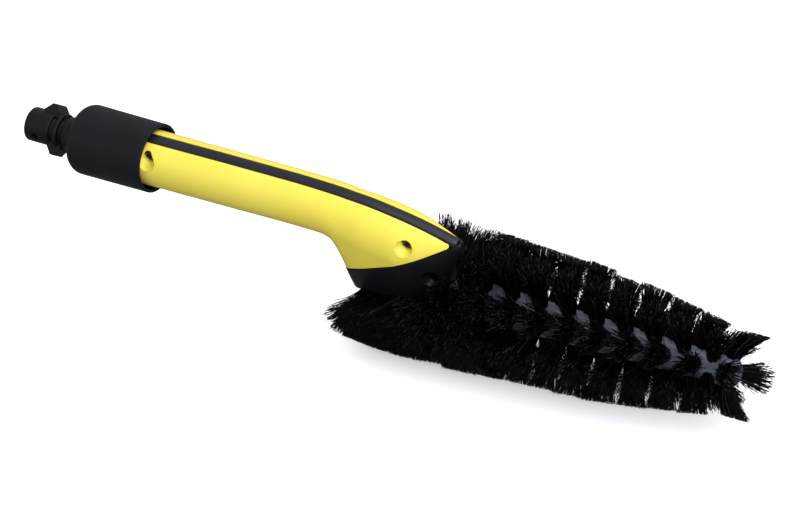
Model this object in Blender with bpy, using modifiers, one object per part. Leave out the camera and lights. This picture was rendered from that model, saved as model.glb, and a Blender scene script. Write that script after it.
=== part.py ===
"""Water-fed wheel brush: bayonet inlet, swivelling collar, two-shell handle, base and tapered brush.

Everything is modelled in the handle's frame: x runs from the inlet's nose face towards the tip of the
brush, z points out of the handle's spine, and y = 0 is the plane where the two shells meet.
The whole object is lowered at the end so that it lies on its bristles, origin at its box's foot.
"""
import math

import bmesh
import bpy
from mathutils import Matrix, Vector

MM = 0.001
GAP = 0.3 * MM                       # clearance between touching pieces

# Driving dimensions --------------------------------------------------------------------------
# Pairs are where a feature starts and ends along x.
NOSE_END = 15.2 * MM
NOSE_RADIUS = 9.3 * MM               # bayonet nose
NOSE_WINDOW_RADIUS = 2.1 * MM
NECK_RADIUS = 7.2 * MM
NECK_RIB = (18.7 * MM, 21.0 * MM)
NECK_RIB_RADIUS = 10.0 * MM
LUG_RADIUS = 13.6 * MM
LUG_WIDTH = 9.0 * MM
LUG_TURN = math.radians(-48.0)       # of the first lug about x; the second is opposite
HUB_START = 24.0 * MM
HUB_RADIUS = 9.3 * MM                # shoulder that the collar rests against
INLET_BORE = 4.6 * MM
WATERWAY = 2.8 * MM                  # radius of the narrow bore through inlet and spigot
BARREL_RADIUS = 7.7 * MM             # the part of the inlet that turns in the handle
BARREL_BORE = 5.7 * MM
BARREL_END = 62.0 * MM
SNAP_GROOVE = (58.2 * MM, 60.0 * MM)
GROOVE_DEPTH = 0.9 * MM

COLLAR_REAR = 31.5 * MM
COLLAR_MOUTH = 81.0 * MM
COLLAR_RADIUS = 19.2 * MM            # at the rear; the mouth is a little slimmer
COLLAR_TAPER = 0.3 * MM
COLLAR_WALL = 1.7 * MM
COLLAR_SHOULDER = 6.5 * MM
COLLAR_FLOOR = 3.5 * MM
COLLAR_GROOVE = 1.6 * MM             # width of the groove for the ring that holds the collar
HEX_END = COLLAR_REAR + COLLAR_FLOOR
HEX_FLATS = 15.8 * MM                # hexagon that keys the collar to the inlet

HANDLE_REAR = 46.0 * MM
SHELL_WALL = 2.0 * MM
SHELL_RIBS = ((47.5 * MM, 50.5 * MM), (67.0 * MM, 69.5 * MM))
SHELL_RIB_HEIGHT = 4.0 * MM
STRIP_WIDTH = 6.6 * MM
STRIP_DEPTH = 3.4 * MM
HEAD_TIP = 266.0 * MM

SPLIT_START = Vector((204.0 * MM, 0.0, -26.0 * MM))   # where shells and base meet, at the rear wall
SPLIT_END = Vector((266.0 * MM, 0.0, 0.2 * MM))       # and at the tip
BASE_BOTTOM_START = Vector((204.0 * MM, 0.0, -38.0 * MM))    # the base's flat underside
BASE_BOTTOM_END = Vector((266.0 * MM, 0.0, -29.0 * MM))
BASE_LIP = 0.4 * MM                  # the base stands proud of the shells by this much
BASE_WALL = 2.6 * MM

SPIGOT_START = 43.0 * MM
SPIGOT_END = 72.0 * MM
SPIGOT_RADIUS = 5.4 * MM
SPIGOT_FLANGE = (64.0 * MM, 66.5 * MM)
SPIGOT_SOCKET_RADIUS = 8.0 * MM
SEALS = {"swivel_o_ring_rear": 47.5 * MM, "swivel_o_ring_front": 54.0 * MM}
SEAL_GROOVE_RADIUS = 3.8 * MM
SEAL_THICKNESS = 0.6 * MM            # radius of an O-ring's section
WASHER_RADIUS = 9.4 * MM
SWIVEL_RING = (51.0 * MM, 57.8 * MM)
JOINT_FLANGE = 11.2 * MM             # radius of the rings caught in the shells' ribs
TUBE_START = 66.3 * MM
TUBE_RADIUS = 5.0 * MM
TUBE_WALL = 1.4 * MM
TUBE_DROP = 226.0 * MM               # where the water tube turns down into the core
TUBE_BEND = 14.0 * MM

BRUSH_AXIS = -38.5 * MM              # height of the brush axis under the handle axis
CORE_START = 207.5 * MM
CORE_END = 419.5 * MM
CORE_RADIUS_REAR = 11.5 * MM
CORE_RADIUS_FRONT = 7.5 * MM
CORE_WALL = 3.0 * MM
CORE_BOSS_RADIUS = 8.7 * MM
CORE_BOSS_TOP = -20.6 * MM
PLUG_DEPTH = 7.0 * MM
OUTLETS = 6                          # water outlets, up and down by turns
OUTLET_RADIUS = 0.9 * MM
OUTLET_LENGTH = 20.0 * MM

RING_COUNT = 26
FIRST_RING = 211.5 * MM
RING_PITCH = 8.25 * MM
TUFTS_PER_RING = 4
BAND_WIDTH = 4.8 * MM
BAND_THICKNESS = 0.8 * MM
TUFT_SPREAD = 0.155                  # half width of a tuft's tip against its reach

SCREWS = {     # name: (x, z) of its axis, which runs along y, and its head's distance from the middle
    "handle_screw_rear": (82.8 * MM, 9.4 * MM, 6.0 * MM),
    "handle_screw_front": (240.5 * MM, -1.0 * MM, 7.4 * MM),
    "base_screw": (253.0 * MM, -20.6 * MM, 5.6 * MM),
}
SCREW_HEAD_RADIUS = 3.0 * MM
SCREW_HEAD_HEIGHT = 2.0 * MM
SCREW_SHANK_RADIUS = 1.5 * MM
SCREW_CROSS = (3.4, 0.8, 2.4)        # one arm of the cross recess, in millimetres
PILOT_DEPTHS = {"handle_screw_rear": 7.5 * MM, "handle_screw_front": 7.5 * MM, "base_screw": 5.5 * MM}
RECESS_RADIUS = 3.4 * MM
BOSS_RADIUS = 5.2 * MM

# Outline of handle and head at stations along x: spine height, height of the widest line,
# keel height, half width, squareness of the lower half.
STATIONS = (
    (46.0, 15.0, 0.0, -15.0, 15.0, 2.0),
    (81.0, 15.0, 0.0, -15.0, 15.0, 2.0),
    (130.0, 15.5, 0.0, -14.4, 14.8, 2.0),
    (170.0, 15.6, 0.0, -13.9, 14.5, 2.0),
    (187.0, 15.1, 0.0, -14.4, 14.5, 2.0),
    (193.5, 14.8, -0.6, -17.6, 14.6, 2.0),
    (197.0, 14.6, -1.8, -25.5, 14.7, 2.2),
    (200.0, 14.4, -3.8, -35.5, 14.9, 2.6),
    (203.5, 14.0, -5.8, -47.0, 15.2, 3.3),
    (207.0, 13.7, -6.8, -54.0, 15.6, 3.6),
    (215.0, 12.9, -8.0, -58.0, 16.2, 3.6),
    (232.0, 10.0, -11.0, -58.0, 16.3, 3.3),
    (242.0, 7.9, -12.0, -54.0, 14.5, 3.0),
    (252.0, 5.4, -12.0, -44.0, 11.1, 2.5),
    (260.0, 3.2, -9.0, -28.0, 7.2, 2.2),
    (264.0, 1.9, -4.0, -12.0, 4.4, 2.0),
    (266.0, 1.1, -3.0, -8.0, 3.2, 2.0),
    (268.0, 0.2, -2.5, -5.0, 1.4, 2.0),
)

# Along the brush: how far the tufts reach from its axis, how far their tips lean towards the front,
# and the angle from straight up within which the head leaves no room for tufts.
TUFT_REACH = ((205.0, 38.0), (231.0, 39.5), (281.0, 37.2), (331.0, 34.5), (381.0, 28.8), (420.0, 21.0))
TUFT_LEAN = ((205.0, -9.0), (222.0, -12.0), (232.0, -12.0), (245.0, -4.0), (385.0, 1.0), (402.0, 5.0),
             (420.0, 11.0))
HEAD_SHADOW = ((205.0, 140.0), (222.0, 112.0), (234.0, 88.0), (250.0, 62.0), (262.0, 50.0), (270.0, 0.0))


def smooth(points, x, column=1):
    """Cubic through (x, value...) rows, without overshoot: slopes are zero at turning points."""
    xs = [row[0] for row in points]
    ys = [row[column] for row in points]
    if x <= xs[0]:
        return ys[0]
    if x >= xs[-1]:
        return ys[-1]
    steps = [(ys[i + 1] - ys[i]) / (xs[i + 1] - xs[i]) for i in range(len(xs) - 1)]
    slopes = [steps[0]] + [0.0 if a * b <= 0.0 else 2.0 * a * b / (a + b)
                           for a, b in zip(steps, steps[1:])] + [steps[-1]]
    i = max(k for k in range(len(xs) - 1) if xs[k] <= x)
    span = xs[i + 1] - xs[i]
    t = (x - xs[i]) / span
    return (ys[i] * (1.0 + 2.0 * t) * (1.0 - t) ** 2 + slopes[i] * span * t * (1.0 - t) ** 2
            + ys[i + 1] * t * t * (3.0 - 2.0 * t) + slopes[i + 1] * span * t * t * (t - 1.0))


# Scene and object helpers --------------------------------------------------------------------
def start_scene():
    for obj in list(bpy.data.objects):
        bpy.data.objects.remove(obj, do_unlink=True)
    collections = []
    for name in ("wheel_brush", "cutters"):
        collection = bpy.data.collections.new(name)
        bpy.context.scene.collection.children.link(collection)
        collections.append(collection)
    return collections


def make_material(name, colour, roughness, metallic=0.0):
    material = bpy.data.materials.new(name)
    material.use_nodes = True
    shader = material.node_tree.nodes["Principled BSDF"]
    shader.inputs["Base Color"].default_value = (*colour, 1.0)
    shader.inputs["Roughness"].default_value = roughness
    shader.inputs["Metallic"].default_value = metallic
    return material


def add_piece(name, mesh, material, parent=None):
    obj = bpy.data.objects.new(name, mesh)
    PARTS.objects.link(obj)
    obj.parent = parent or HANDLE_FRAME
    mesh.materials.append(material)
    return obj


def add_cutter(name, mesh):
    obj = bpy.data.objects.new(name, mesh)
    CUTTERS.objects.link(obj)
    obj.parent = HANDLE_FRAME
    obj.hide_render = True
    obj.display_type = "WIRE"
    return obj


def cut(target, cutter, operation="DIFFERENCE", solver="EXACT"):
    boolean = target.modifiers.new(cutter.name, "BOOLEAN")
    boolean.operation = operation
    boolean.object = cutter
    boolean.solver = solver


def carve(target, *cutters):
    """Take closed cutters out of a closed piece whose edges line up with theirs, where EXACT fails."""
    for cutter in cutters:
        cut(target, cutter, solver="MANIFOLD")


def shade_round(obj, angle=35.0):
    obj.data.shade_smooth()
    obj.data.set_sharp_from_angle(angle=math.radians(angle))


def bmesh_to_mesh(name, bm):
    bmesh.ops.recalc_face_normals(bm, faces=bm.faces)
    mesh = bpy.data.meshes.new(name)
    bm.to_mesh(mesh)
    bm.free()
    return mesh


# Basic shapes --------------------------------------------------------------------------------
def loft_mesh(name, sections):
    """A closed skin over equal-length rings of points, with a flat face at each end."""
    bm = bmesh.new()
    rings = [[bm.verts.new(point) for point in section] for section in sections]
    for ring, following in zip(rings, rings[1:]):
        for i, vert in enumerate(ring):
            j = (i + 1) % len(ring)
            bm.faces.new((vert, ring[j], following[j], following[i]))
    bm.faces.new(rings[0])
    bm.faces.new(rings[-1])
    return bmesh_to_mesh(name, bm)


def box_mesh(name, size):
    bm = bmesh.new()
    bmesh.ops.create_cube(bm, size=1.0, matrix=Matrix.Diagonal((*size, 1.0)))
    return bmesh_to_mesh(name, bm)


def rod_mesh(name, radius, length, segments=20, end_radius=None):
    """A cylinder or cone along local z, centred on the origin."""
    bm = bmesh.new()
    bmesh.ops.create_cone(bm, cap_ends=True, segments=segments, radius1=radius,
                          radius2=radius if end_radius is None else end_radius, depth=length)
    return bmesh_to_mesh(name, bm)


def lay_along_x(obj, x=0.0, z=0.0):
    """Local z becomes the handle's x."""
    obj.rotation_euler = (0.0, math.pi / 2.0, 0.0)
    obj.location = (x, 0.0, z)


def lay_along_y(obj, x, y, z):
    """Local z becomes the handle's y."""
    obj.rotation_euler = (-math.pi / 2.0, 0.0, 0.0)
    obj.location = (x, y, z)


def turned(name, outer, inner, material, steps=32, parent=None, z=0.0):
    """A turned piece on a line along x. outer and inner are (x, radius) points in order of x.
    With no inner list the outer one is the whole outline, and starts and ends on the axis."""
    outline = list(reversed(outer)) + list(inner)
    mesh = bpy.data.meshes.new(name)
    count = len(outline)
    edges = [(i, i + 1) for i in range(count - 1)]
    if inner:
        edges.append((count - 1, 0))
    mesh.from_pydata([(radius, 0.0, x) for x, radius in outline], edges, [])
    obj = add_piece(name, mesh, material, parent)
    lay_along_x(obj, z=z)
    screw = obj.modifiers.new("turn", "SCREW")
    screw.angle = 2.0 * math.pi
    screw.steps = steps
    screw.render_steps = steps
    screw.use_merge_vertices = not inner
    screw.merge_threshold = 0.00001
    return obj


def o_ring(name, x, centre_radius, segments=24):
    bm = bmesh.new()
    profile = [(centre_radius + SEAL_THICKNESS * math.cos(a), SEAL_THICKNESS * math.sin(a))
               for a in (math.tau * i / 6.0 for i in range(6))]
    rings = []
    for i in range(segments):
        turn = math.tau * i / segments
        rings.append([bm.verts.new((r * math.cos(turn), r * math.sin(turn), h)) for r, h in profile])
    for i, ring in enumerate(rings):
        following = rings[(i + 1) % segments]
        for j, vert in enumerate(ring):
            k = (j + 1) % len(ring)
            bm.faces.new((vert, ring[k], following[k], following[j]))
    obj = add_piece(name, bmesh_to_mesh(name, bm), RUBBER)
    lay_along_x(obj, x)
    shade_round(obj, 80.0)
    return obj


# Coupling: everything that swivels on the handle ---------------------------------------------
def lug(name, start, top_start, top_end, end, turn):
    """A locking lug: a ramped block across the inlet, turned about its axis."""
    root = NOSE_RADIUS - 2.5 * MM
    side = ((start, root), (start, NOSE_RADIUS - 0.2 * MM), (top_start, LUG_RADIUS), (top_end, LUG_RADIUS),
            (end, NOSE_RADIUS + 0.4 * MM), (end, root))
    sections = [[(x, y, z) for x, z in side] for y in (-LUG_WIDTH / 2.0, LUG_WIDTH / 2.0)]
    cutter = add_cutter(name, loft_mesh(name, sections))
    cutter.rotation_euler = (turn, 0.0, 0.0)
    return cutter


def bayonet_inlet():
    chamfer = 0.8 * MM
    groove_radius = BARREL_RADIUS - GROOVE_DEPTH
    outer = [(0.0, NOSE_RADIUS - chamfer), (chamfer, NOSE_RADIUS), (NOSE_END, NOSE_RADIUS),
             (NOSE_END, NECK_RADIUS), (NECK_RIB[0], NECK_RADIUS), (NECK_RIB[0], NECK_RIB_RADIUS),
             (NECK_RIB[1], NECK_RIB_RADIUS), (NECK_RIB[1], NECK_RADIUS), (HUB_START, NECK_RADIUS),
             (HUB_START, HUB_RADIUS), (COLLAR_REAR - GAP, HUB_RADIUS), (COLLAR_REAR - GAP, BARREL_RADIUS)]
    for start, end in ((HEX_END + GAP, HEX_END + GAP + COLLAR_GROOVE), SNAP_GROOVE):
        outer += [(start, BARREL_RADIUS), (start, groove_radius), (end, groove_radius), (end, BARREL_RADIUS)]
    outer.append((BARREL_END, BARREL_RADIUS))
    bore_end = NOSE_END - 2.2 * MM
    barrel_start = HEX_END + 6.0 * MM
    inner = [(0.0, INLET_BORE + 0.6 * MM), (1.0 * MM, INLET_BORE), (bore_end, INLET_BORE),
             (bore_end + 2.0 * MM, WATERWAY), (barrel_start, WATERWAY),
             (barrel_start + 1.0 * MM, BARREL_BORE), (BARREL_END, BARREL_BORE)]
    inlet = turned("bayonet_inlet", outer, inner, BLACK_PLASTIC, parent=SWIVEL_AXIS)
    cut(inlet, lug("upper_lug", 6.5 * MM, 11.5 * MM, 15.0 * MM, 18.6 * MM, LUG_TURN), "UNION")
    cut(inlet, lug("lower_lug", 14.0 * MM, 17.5 * MM, 20.5 * MM, 23.0 * MM, LUG_TURN + math.pi), "UNION")
    hexagon = add_cutter("inlet_hexagon", rod_mesh("inlet_hexagon", hex_radius(0.0),
                                                   COLLAR_FLOOR + GAP, segments=6))
    lay_along_x(hexagon, COLLAR_REAR + (COLLAR_FLOOR - GAP) / 2.0)
    cut(hexagon, x_rod("hexagon_bore", WATERWAY + 1.5 * MM, COLLAR_REAR - 5.0 * MM,
                       COLLAR_REAR + 5.0 * MM, 0.0, 32))
    cut(inlet, hexagon, "UNION")
    cut(inlet, nose_window())


def nose_window():
    """An oval opening in the side of the nose, beside the bore."""
    window = add_cutter("nose_window", rod_mesh("nose_window", NOSE_WINDOW_RADIUS, 12.0 * MM, 12))
    window.scale = (1.0, 1.25, 1.0)
    window.rotation_euler = (math.radians(94.0), 0.0, 0.0)
    window.location = (6.8 * MM, -9.0 * MM, 0.6 * MM)
    return window


def hex_radius(clearance):
    return (HEX_FLATS / 2.0 + clearance) / math.cos(math.pi / 6.0)


def coupling_collar():
    mouth_radius = COLLAR_RADIUS - COLLAR_TAPER
    corner = COLLAR_REAR + COLLAR_SHOULDER
    arc = [math.radians(a) for a in (0, 18, 36, 54, 72, 90)]
    outer = [(corner - COLLAR_SHOULDER * math.cos(a),
              COLLAR_RADIUS - COLLAR_SHOULDER * (1.0 - math.sin(a))) for a in arc]
    outer += [(COLLAR_MOUTH - 0.5 * MM, mouth_radius), (COLLAR_MOUTH, mouth_radius - 0.5 * MM)]
    hole = NECK_RADIUS - 1.0 * MM
    bore = COLLAR_RADIUS - COLLAR_WALL
    inner = [(COLLAR_REAR, hole), (HEX_END, hole), (HEX_END, bore - 4.0 * MM),
             (HEX_END + 1.2 * MM, bore - 1.2 * MM), (HEX_END + 4.0 * MM, bore),
             (COLLAR_MOUTH, mouth_radius - COLLAR_WALL)]
    collar = turned("coupling_collar", outer, inner, BLACK_PLASTIC, steps=40, parent=SWIVEL_AXIS)
    keyway = x_rod("collar_keyway", hex_radius(GAP), COLLAR_REAR - 10.0 * MM, COLLAR_REAR + 10.0 * MM, 0.0, 6)
    cut(collar, keyway)


def snap_ring(name, start, thickness, reach):
    """A flat retaining ring in a groove of the barrel, with the gap that lets it spring open."""
    inner_radius = BARREL_RADIUS - GROOVE_DEPTH + GAP
    ring = turned(name, [(start, reach), (start + thickness, reach)],
                  [(start, inner_radius), (start + thickness, inner_radius)], STEEL, 20, SWIVEL_AXIS)
    notch = add_cutter(name + "_gap", box_mesh(name + "_gap", (4.0 * MM, 2.4 * MM, 6.0 * MM)))
    notch.location = (start, 0.0, -reach)
    cut(ring, notch)


def build_coupling():
    bayonet_inlet()
    coupling_collar()
    snap_ring("collar_retaining_ring", HEX_END + 2.0 * GAP, COLLAR_GROOVE - 2.0 * GAP, 10.4 * MM)
    snap_width = SNAP_GROOVE[1] - SNAP_GROOVE[0] - 2.0 * GAP
    snap_ring("swivel_snap_ring", SNAP_GROOVE[0] + GAP, snap_width, 10.0 * MM)


# Water joint inside the handle ---------------------------------------------------------------
def build_water_joint():
    chamfer = 0.6 * MM
    outer = [(SPIGOT_START, SPIGOT_RADIUS - chamfer), (SPIGOT_START + chamfer, SPIGOT_RADIUS)]
    for x in SEALS.values():
        start, end = x - 1.0 * MM, x + 1.0 * MM
        outer += [(start, SPIGOT_RADIUS), (start, SEAL_GROOVE_RADIUS),
                  (end, SEAL_GROOVE_RADIUS), (end, SPIGOT_RADIUS)]
    outer += [(SPIGOT_FLANGE[0], SPIGOT_RADIUS), (SPIGOT_FLANGE[0], JOINT_FLANGE),
              (SPIGOT_FLANGE[1], JOINT_FLANGE), (SPIGOT_FLANGE[1], SPIGOT_SOCKET_RADIUS),
              (SPIGOT_END, SPIGOT_SOCKET_RADIUS)]
    socket = TUBE_RADIUS + GAP
    socket_floor = TUBE_START - GAP
    seal_room = SPIGOT_END - 3.0 * MM
    inner = [(SPIGOT_START, WATERWAY), (socket_floor, WATERWAY), (socket_floor, socket),
             (seal_room, socket), (seal_room, socket + 1.5 * MM), (SPIGOT_END, socket + 1.5 * MM)]
    turned("swivel_spigot", outer, inner, BLACK_PLASTIC, 24)
    for name, x in SEALS.items():
        o_ring(name, x, SEAL_GROOVE_RADIUS + SEAL_THICKNESS + GAP)
    plain_ring("thrust_washer", BARREL_END + GAP, SPIGOT_FLANGE[0] - GAP, WASHER_RADIUS, SPIGOT_RADIUS + GAP)
    plain_ring("swivel_retaining_ring", *SWIVEL_RING, JOINT_FLANGE, BARREL_RADIUS + GAP)
    o_ring("tube_o_ring_rear", seal_room + 1.4 * MM, TUBE_RADIUS + SEAL_THICKNESS + 0.4 * MM)


def plain_ring(name, start, end, radius, bore):
    turned(name, [(start, radius), (end, radius)], [(start, bore), (end, bore)], WHITE_PLASTIC, 24)


def water_tube():
    """Straight along the handle, then a quarter bend down into the core's inlet boss."""
    drop = BRUSH_AXIS + 12.5 * MM
    bend_start = TUBE_DROP - TUBE_BEND
    bend_steps = 6
    route = [(TUBE_START, 0.0), (140.0 * MM, 0.0)]
    for i in range(bend_steps + 1):
        turn = math.radians(90.0 * i / bend_steps)
        route.append((bend_start + TUBE_BEND * math.sin(turn), TUBE_BEND * (math.cos(turn) - 1.0)))
    route.append((TUBE_DROP, drop))
    curve = bpy.data.curves.new("tube_route", "CURVE")
    curve.dimensions = "3D"
    curve.bevel_depth = TUBE_RADIUS
    curve.bevel_resolution = 2
    curve.render_resolution_u = 0
    spline = curve.splines.new("POLY")
    spline.points.add(len(route) - 1)
    for point, (x, z) in zip(spline.points, route):
        point.co = (x, 0.0, z, 1.0)
    guide = bpy.data.objects.new("tube_route", curve)
    CUTTERS.objects.link(guide)
    evaluated = guide.evaluated_get(bpy.context.evaluated_depsgraph_get())
    mesh = bpy.data.meshes.new_from_object(evaluated)
    bpy.data.objects.remove(guide, do_unlink=True)
    mesh.materials.clear()
    tube = add_piece("water_tube", mesh, BLACK_PLASTIC)
    wall = tube.modifiers.new("wall", "SOLIDIFY")
    wall.thickness = TUBE_WALL
    wall.offset = -1.0
    shade_round(tube, 50.0)


# Handle --------------------------------------------------------------------------------------
def station(x):
    """Spine height, widest height, keel height, half width and lower squareness at x."""
    x_mm = x / MM
    spine, widest, keel, half, square = (smooth(STATIONS, x_mm, column) for column in range(1, 6))
    return spine * MM, widest * MM, keel * MM, half * MM, square


def outline(x, inset, angles):
    """Points of the body's cross-section at x, drawn in by inset; angle 0 is the spine, 180 the keel."""
    spine, widest, keel, half, square = station(x)
    up = max(spine - widest - inset, 0.2 * MM)
    down = max(widest - keel - inset, 0.2 * MM)
    width = max(half - inset, 0.2 * MM)
    points = []
    for angle in angles:
        sine, cosine = math.sin(angle), math.cos(angle)
        power = 1.0 if cosine >= 0.0 else 2.0 / square
        y = width * math.copysign(abs(sine) ** power, sine)
        z = up * cosine if cosine >= 0.0 else -down * abs(cosine) ** power
        points.append(Vector((x, y, widest + z)))
    return points


def half_body(name, xs, side, outset=0.0, count=13):
    """One half of the handle's outer body, closed by a flat face beside the parting plane."""
    angles = [math.pi * i / count for i in range(count + 1)]
    sections = []
    for x in xs:
        points = outline(x, -outset, angles)
        for point in points:
            point.y = side * max(point.y, GAP / 2.0)
        sections.append(points)
    return loft_mesh(name, sections)


def full_body(name, xs, inset, count=22):
    angles = [math.tau * i / count for i in range(count)]
    return loft_mesh(name, [outline(x, inset(x), angles) for x in xs])


def spread(start, end, step):
    count = max(1, round((end - start) / step))
    return [start + (end - start) * i / count for i in range(count + 1)]


def plane_block(name, start, end, above, shift=0.0):
    """A block that lies on one side of the inclined plane through start and end."""
    slope = (end - start).normalized()
    normal = Vector((-slope.z, 0.0, slope.x))
    size = Vector((190.0 * MM, 70.0 * MM, 90.0 * MM))
    block = add_cutter(name, box_mesh(name, size))
    middle = (start + end) / 2.0 + normal * shift
    block.location = middle + normal * (size.z / 2.0 if above else -size.z / 2.0)
    block.rotation_euler = (0.0, -math.atan2(slope.z, slope.x), 0.0)
    return block


def split_plane_block(name, above, shift):
    """A block on one side of the plane between shells and base."""
    return plane_block(name, SPLIT_START, SPLIT_END, above, shift)


def strip_mesh(name, width, top, bottom, xs):
    """A rectangular bar along the spine, from bottom to top measured from it."""
    half = width / 2.0
    corners = ((-half, top), (half, top), (half, bottom), (-half, bottom))
    return loft_mesh(name, [[(x, y, station(x)[0] + z) for y, z in corners] for x in xs])


def screw_rod(name, screw, radius, from_y, to_y, segments=16):
    """A cutter along y at one of the screws."""
    x, z, _ = SCREWS[screw]
    rod = add_cutter(name, rod_mesh(name, radius, abs(to_y - from_y), segments))
    lay_along_y(rod, x, (from_y + to_y) / 2.0, z)
    return rod


def shell_inset(x):
    """The shell's wall, thickened into two ribs that hold the water joint."""
    return SHELL_WALL + (SHELL_RIB_HEIGHT if any(a <= x <= b for a, b in SHELL_RIBS) else 0.0)


def handle_shell(name, side):
    stations = (spread(HANDLE_REAR, 181.0 * MM, 15.0 * MM) + spread(186.0 * MM, 204.0 * MM, 2.25 * MM)
                + spread(208.0 * MM, 256.0 * MM, 8.0 * MM) + [260.0 * MM, 263.0 * MM, 265.6 * MM])
    shell = add_piece(name, half_body(name, stations, side), YELLOW_PLASTIC)
    edge = 0.05 * MM
    rib_edges = [value for a, b in SHELL_RIBS for value in (a - edge, a, b, b + edge)]
    inside = [HANDLE_REAR - 1.0 * MM] + rib_edges + spread(80.0 * MM, 180.0 * MM, 20.0 * MM)
    inside += spread(189.0 * MM, 203.0 * MM, 3.5 * MM) + spread(210.0 * MM, 250.0 * MM, 10.0 * MM)
    inside.append(258.0 * MM)
    cavity = add_cutter(name + "_cavity", full_body(name + "_cavity", inside, shell_inset))
    for screw in ("handle_screw_rear", "handle_screw_front"):
        cut(cavity, screw_rod(f"{name}_{screw}_boss", screw, BOSS_RADIUS, -side * 2.0 * MM, side * 30.0 * MM))
    channel = strip_mesh(name + "_channel", STRIP_WIDTH + 2.0 * GAP, 2.0 * MM, -STRIP_DEPTH - 0.8 * MM,
                         spread(HANDLE_REAR - 1.0 * MM, 182.0 * MM, 27.0 * MM)
                         + spread(195.0 * MM, HEAD_TIP + 3.0 * MM, 9.0 * MM))
    carve(shell, add_cutter(name + "_channel", channel), cavity,
          split_plane_block(name + "_trim", False, 0.0),
          x_rod(name + "_tube_room", TUBE_RADIUS + GAP, 70.0 * MM, 110.0 * MM, 0.0))
    for screw in ("handle_screw_rear", "handle_screw_front"):
        drill_for_screw(shell, name, screw, side)
    shade_round(shell, 30.0)


def drill_for_screw(piece, name, screw, side):
    """The screw enters from the left: deep recess and through hole there, pilot hole on the right."""
    seat = SCREWS[screw][2]
    if side < 0:
        carve(piece, screw_rod(f"{name}_{screw}_recess", screw, RECESS_RADIUS, -seat, -40.0 * MM),
              screw_rod(f"{name}_{screw}_hole", screw, SCREW_SHANK_RADIUS + GAP,
                        1.0 * MM, -seat - 1.0 * MM, 12))
    else:
        carve(piece, screw_rod(f"{name}_{screw}_pilot", screw, SCREW_SHANK_RADIUS + GAP,
                               -1.0 * MM, PILOT_DEPTHS[screw], 12))


def spine_strip():
    xs = spread(HANDLE_REAR, 170.0 * MM, 31.0 * MM) + spread(180.0 * MM, 244.0 * MM, 8.0 * MM)
    xs += [250.0 * MM, 256.0 * MM, 261.0 * MM, 265.5 * MM]
    mesh = strip_mesh("spine_strip", STRIP_WIDTH, 0.25 * MM, -STRIP_DEPTH, xs)
    strip = add_piece("spine_strip", mesh, BLACK_PLASTIC)
    cut(strip, split_plane_block("strip_trim", False, 0.0))
    bevel = strip.modifiers.new("soft_edges", "BEVEL")
    bevel.width = 0.5 * MM
    bevel.segments = 1
    bevel.limit_method = "ANGLE"
    bevel.angle_limit = math.radians(60.0)


def screw(name):
    """A pan-head screw along y with a cross recess, its tip in the right-hand piece."""
    x, z, seat = SCREWS[name]
    head = SCREW_HEAD_HEIGHT
    tip = head + seat + PILOT_DEPTHS[name] - 0.6 * MM
    profile = [(0.0, 0.0), (0.0, SCREW_HEAD_RADIUS - 0.5 * MM), (0.5 * MM, SCREW_HEAD_RADIUS),
               (head, SCREW_HEAD_RADIUS), (head, SCREW_SHANK_RADIUS),
               (tip - 1.0 * MM, SCREW_SHANK_RADIUS), (tip, 0.0)]
    mesh = bpy.data.meshes.new(name)
    mesh.from_pydata([(radius, 0.0, y) for y, radius in reversed(profile)],
                     [(i, i + 1) for i in range(len(profile) - 1)], [])
    obj = add_piece(name, mesh, STEEL)
    lay_along_y(obj, x, -seat - head - GAP, z)
    turn = obj.modifiers.new("turn", "SCREW")
    turn.angle = math.tau
    turn.steps = turn.render_steps = 12
    turn.use_merge_vertices = True
    turn.merge_threshold = 0.00001
    long, short, deep = (value * MM for value in SCREW_CROSS)
    for i, size in enumerate(((long, short, deep), (short, long, deep))):
        arm = add_cutter(f"{name}_recess_{i}", box_mesh("recess", size))
        lay_along_y(arm, x, -seat - head - GAP, z)
        cut(obj, arm)


# Head base -----------------------------------------------------------------------------------
def core_radius(x):
    t = (x - CORE_START) / (CORE_END - CORE_START)
    return CORE_RADIUS_REAR + (CORE_RADIUS_FRONT - CORE_RADIUS_REAR) * min(max(t, 0.0), 1.0)


def x_rod(name, radius, start, end, z, segments=24):
    rod = add_cutter(name, rod_mesh(name, radius, end - start, segments))
    lay_along_x(rod, (start + end) / 2.0, z)
    return rod


def z_rod(name, radius, x, bottom, top, segments=20):
    rod = add_cutter(name, rod_mesh(name, radius, top - bottom, segments))
    rod.location = (x, 0.0, (bottom + top) / 2.0)
    return rod


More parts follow.
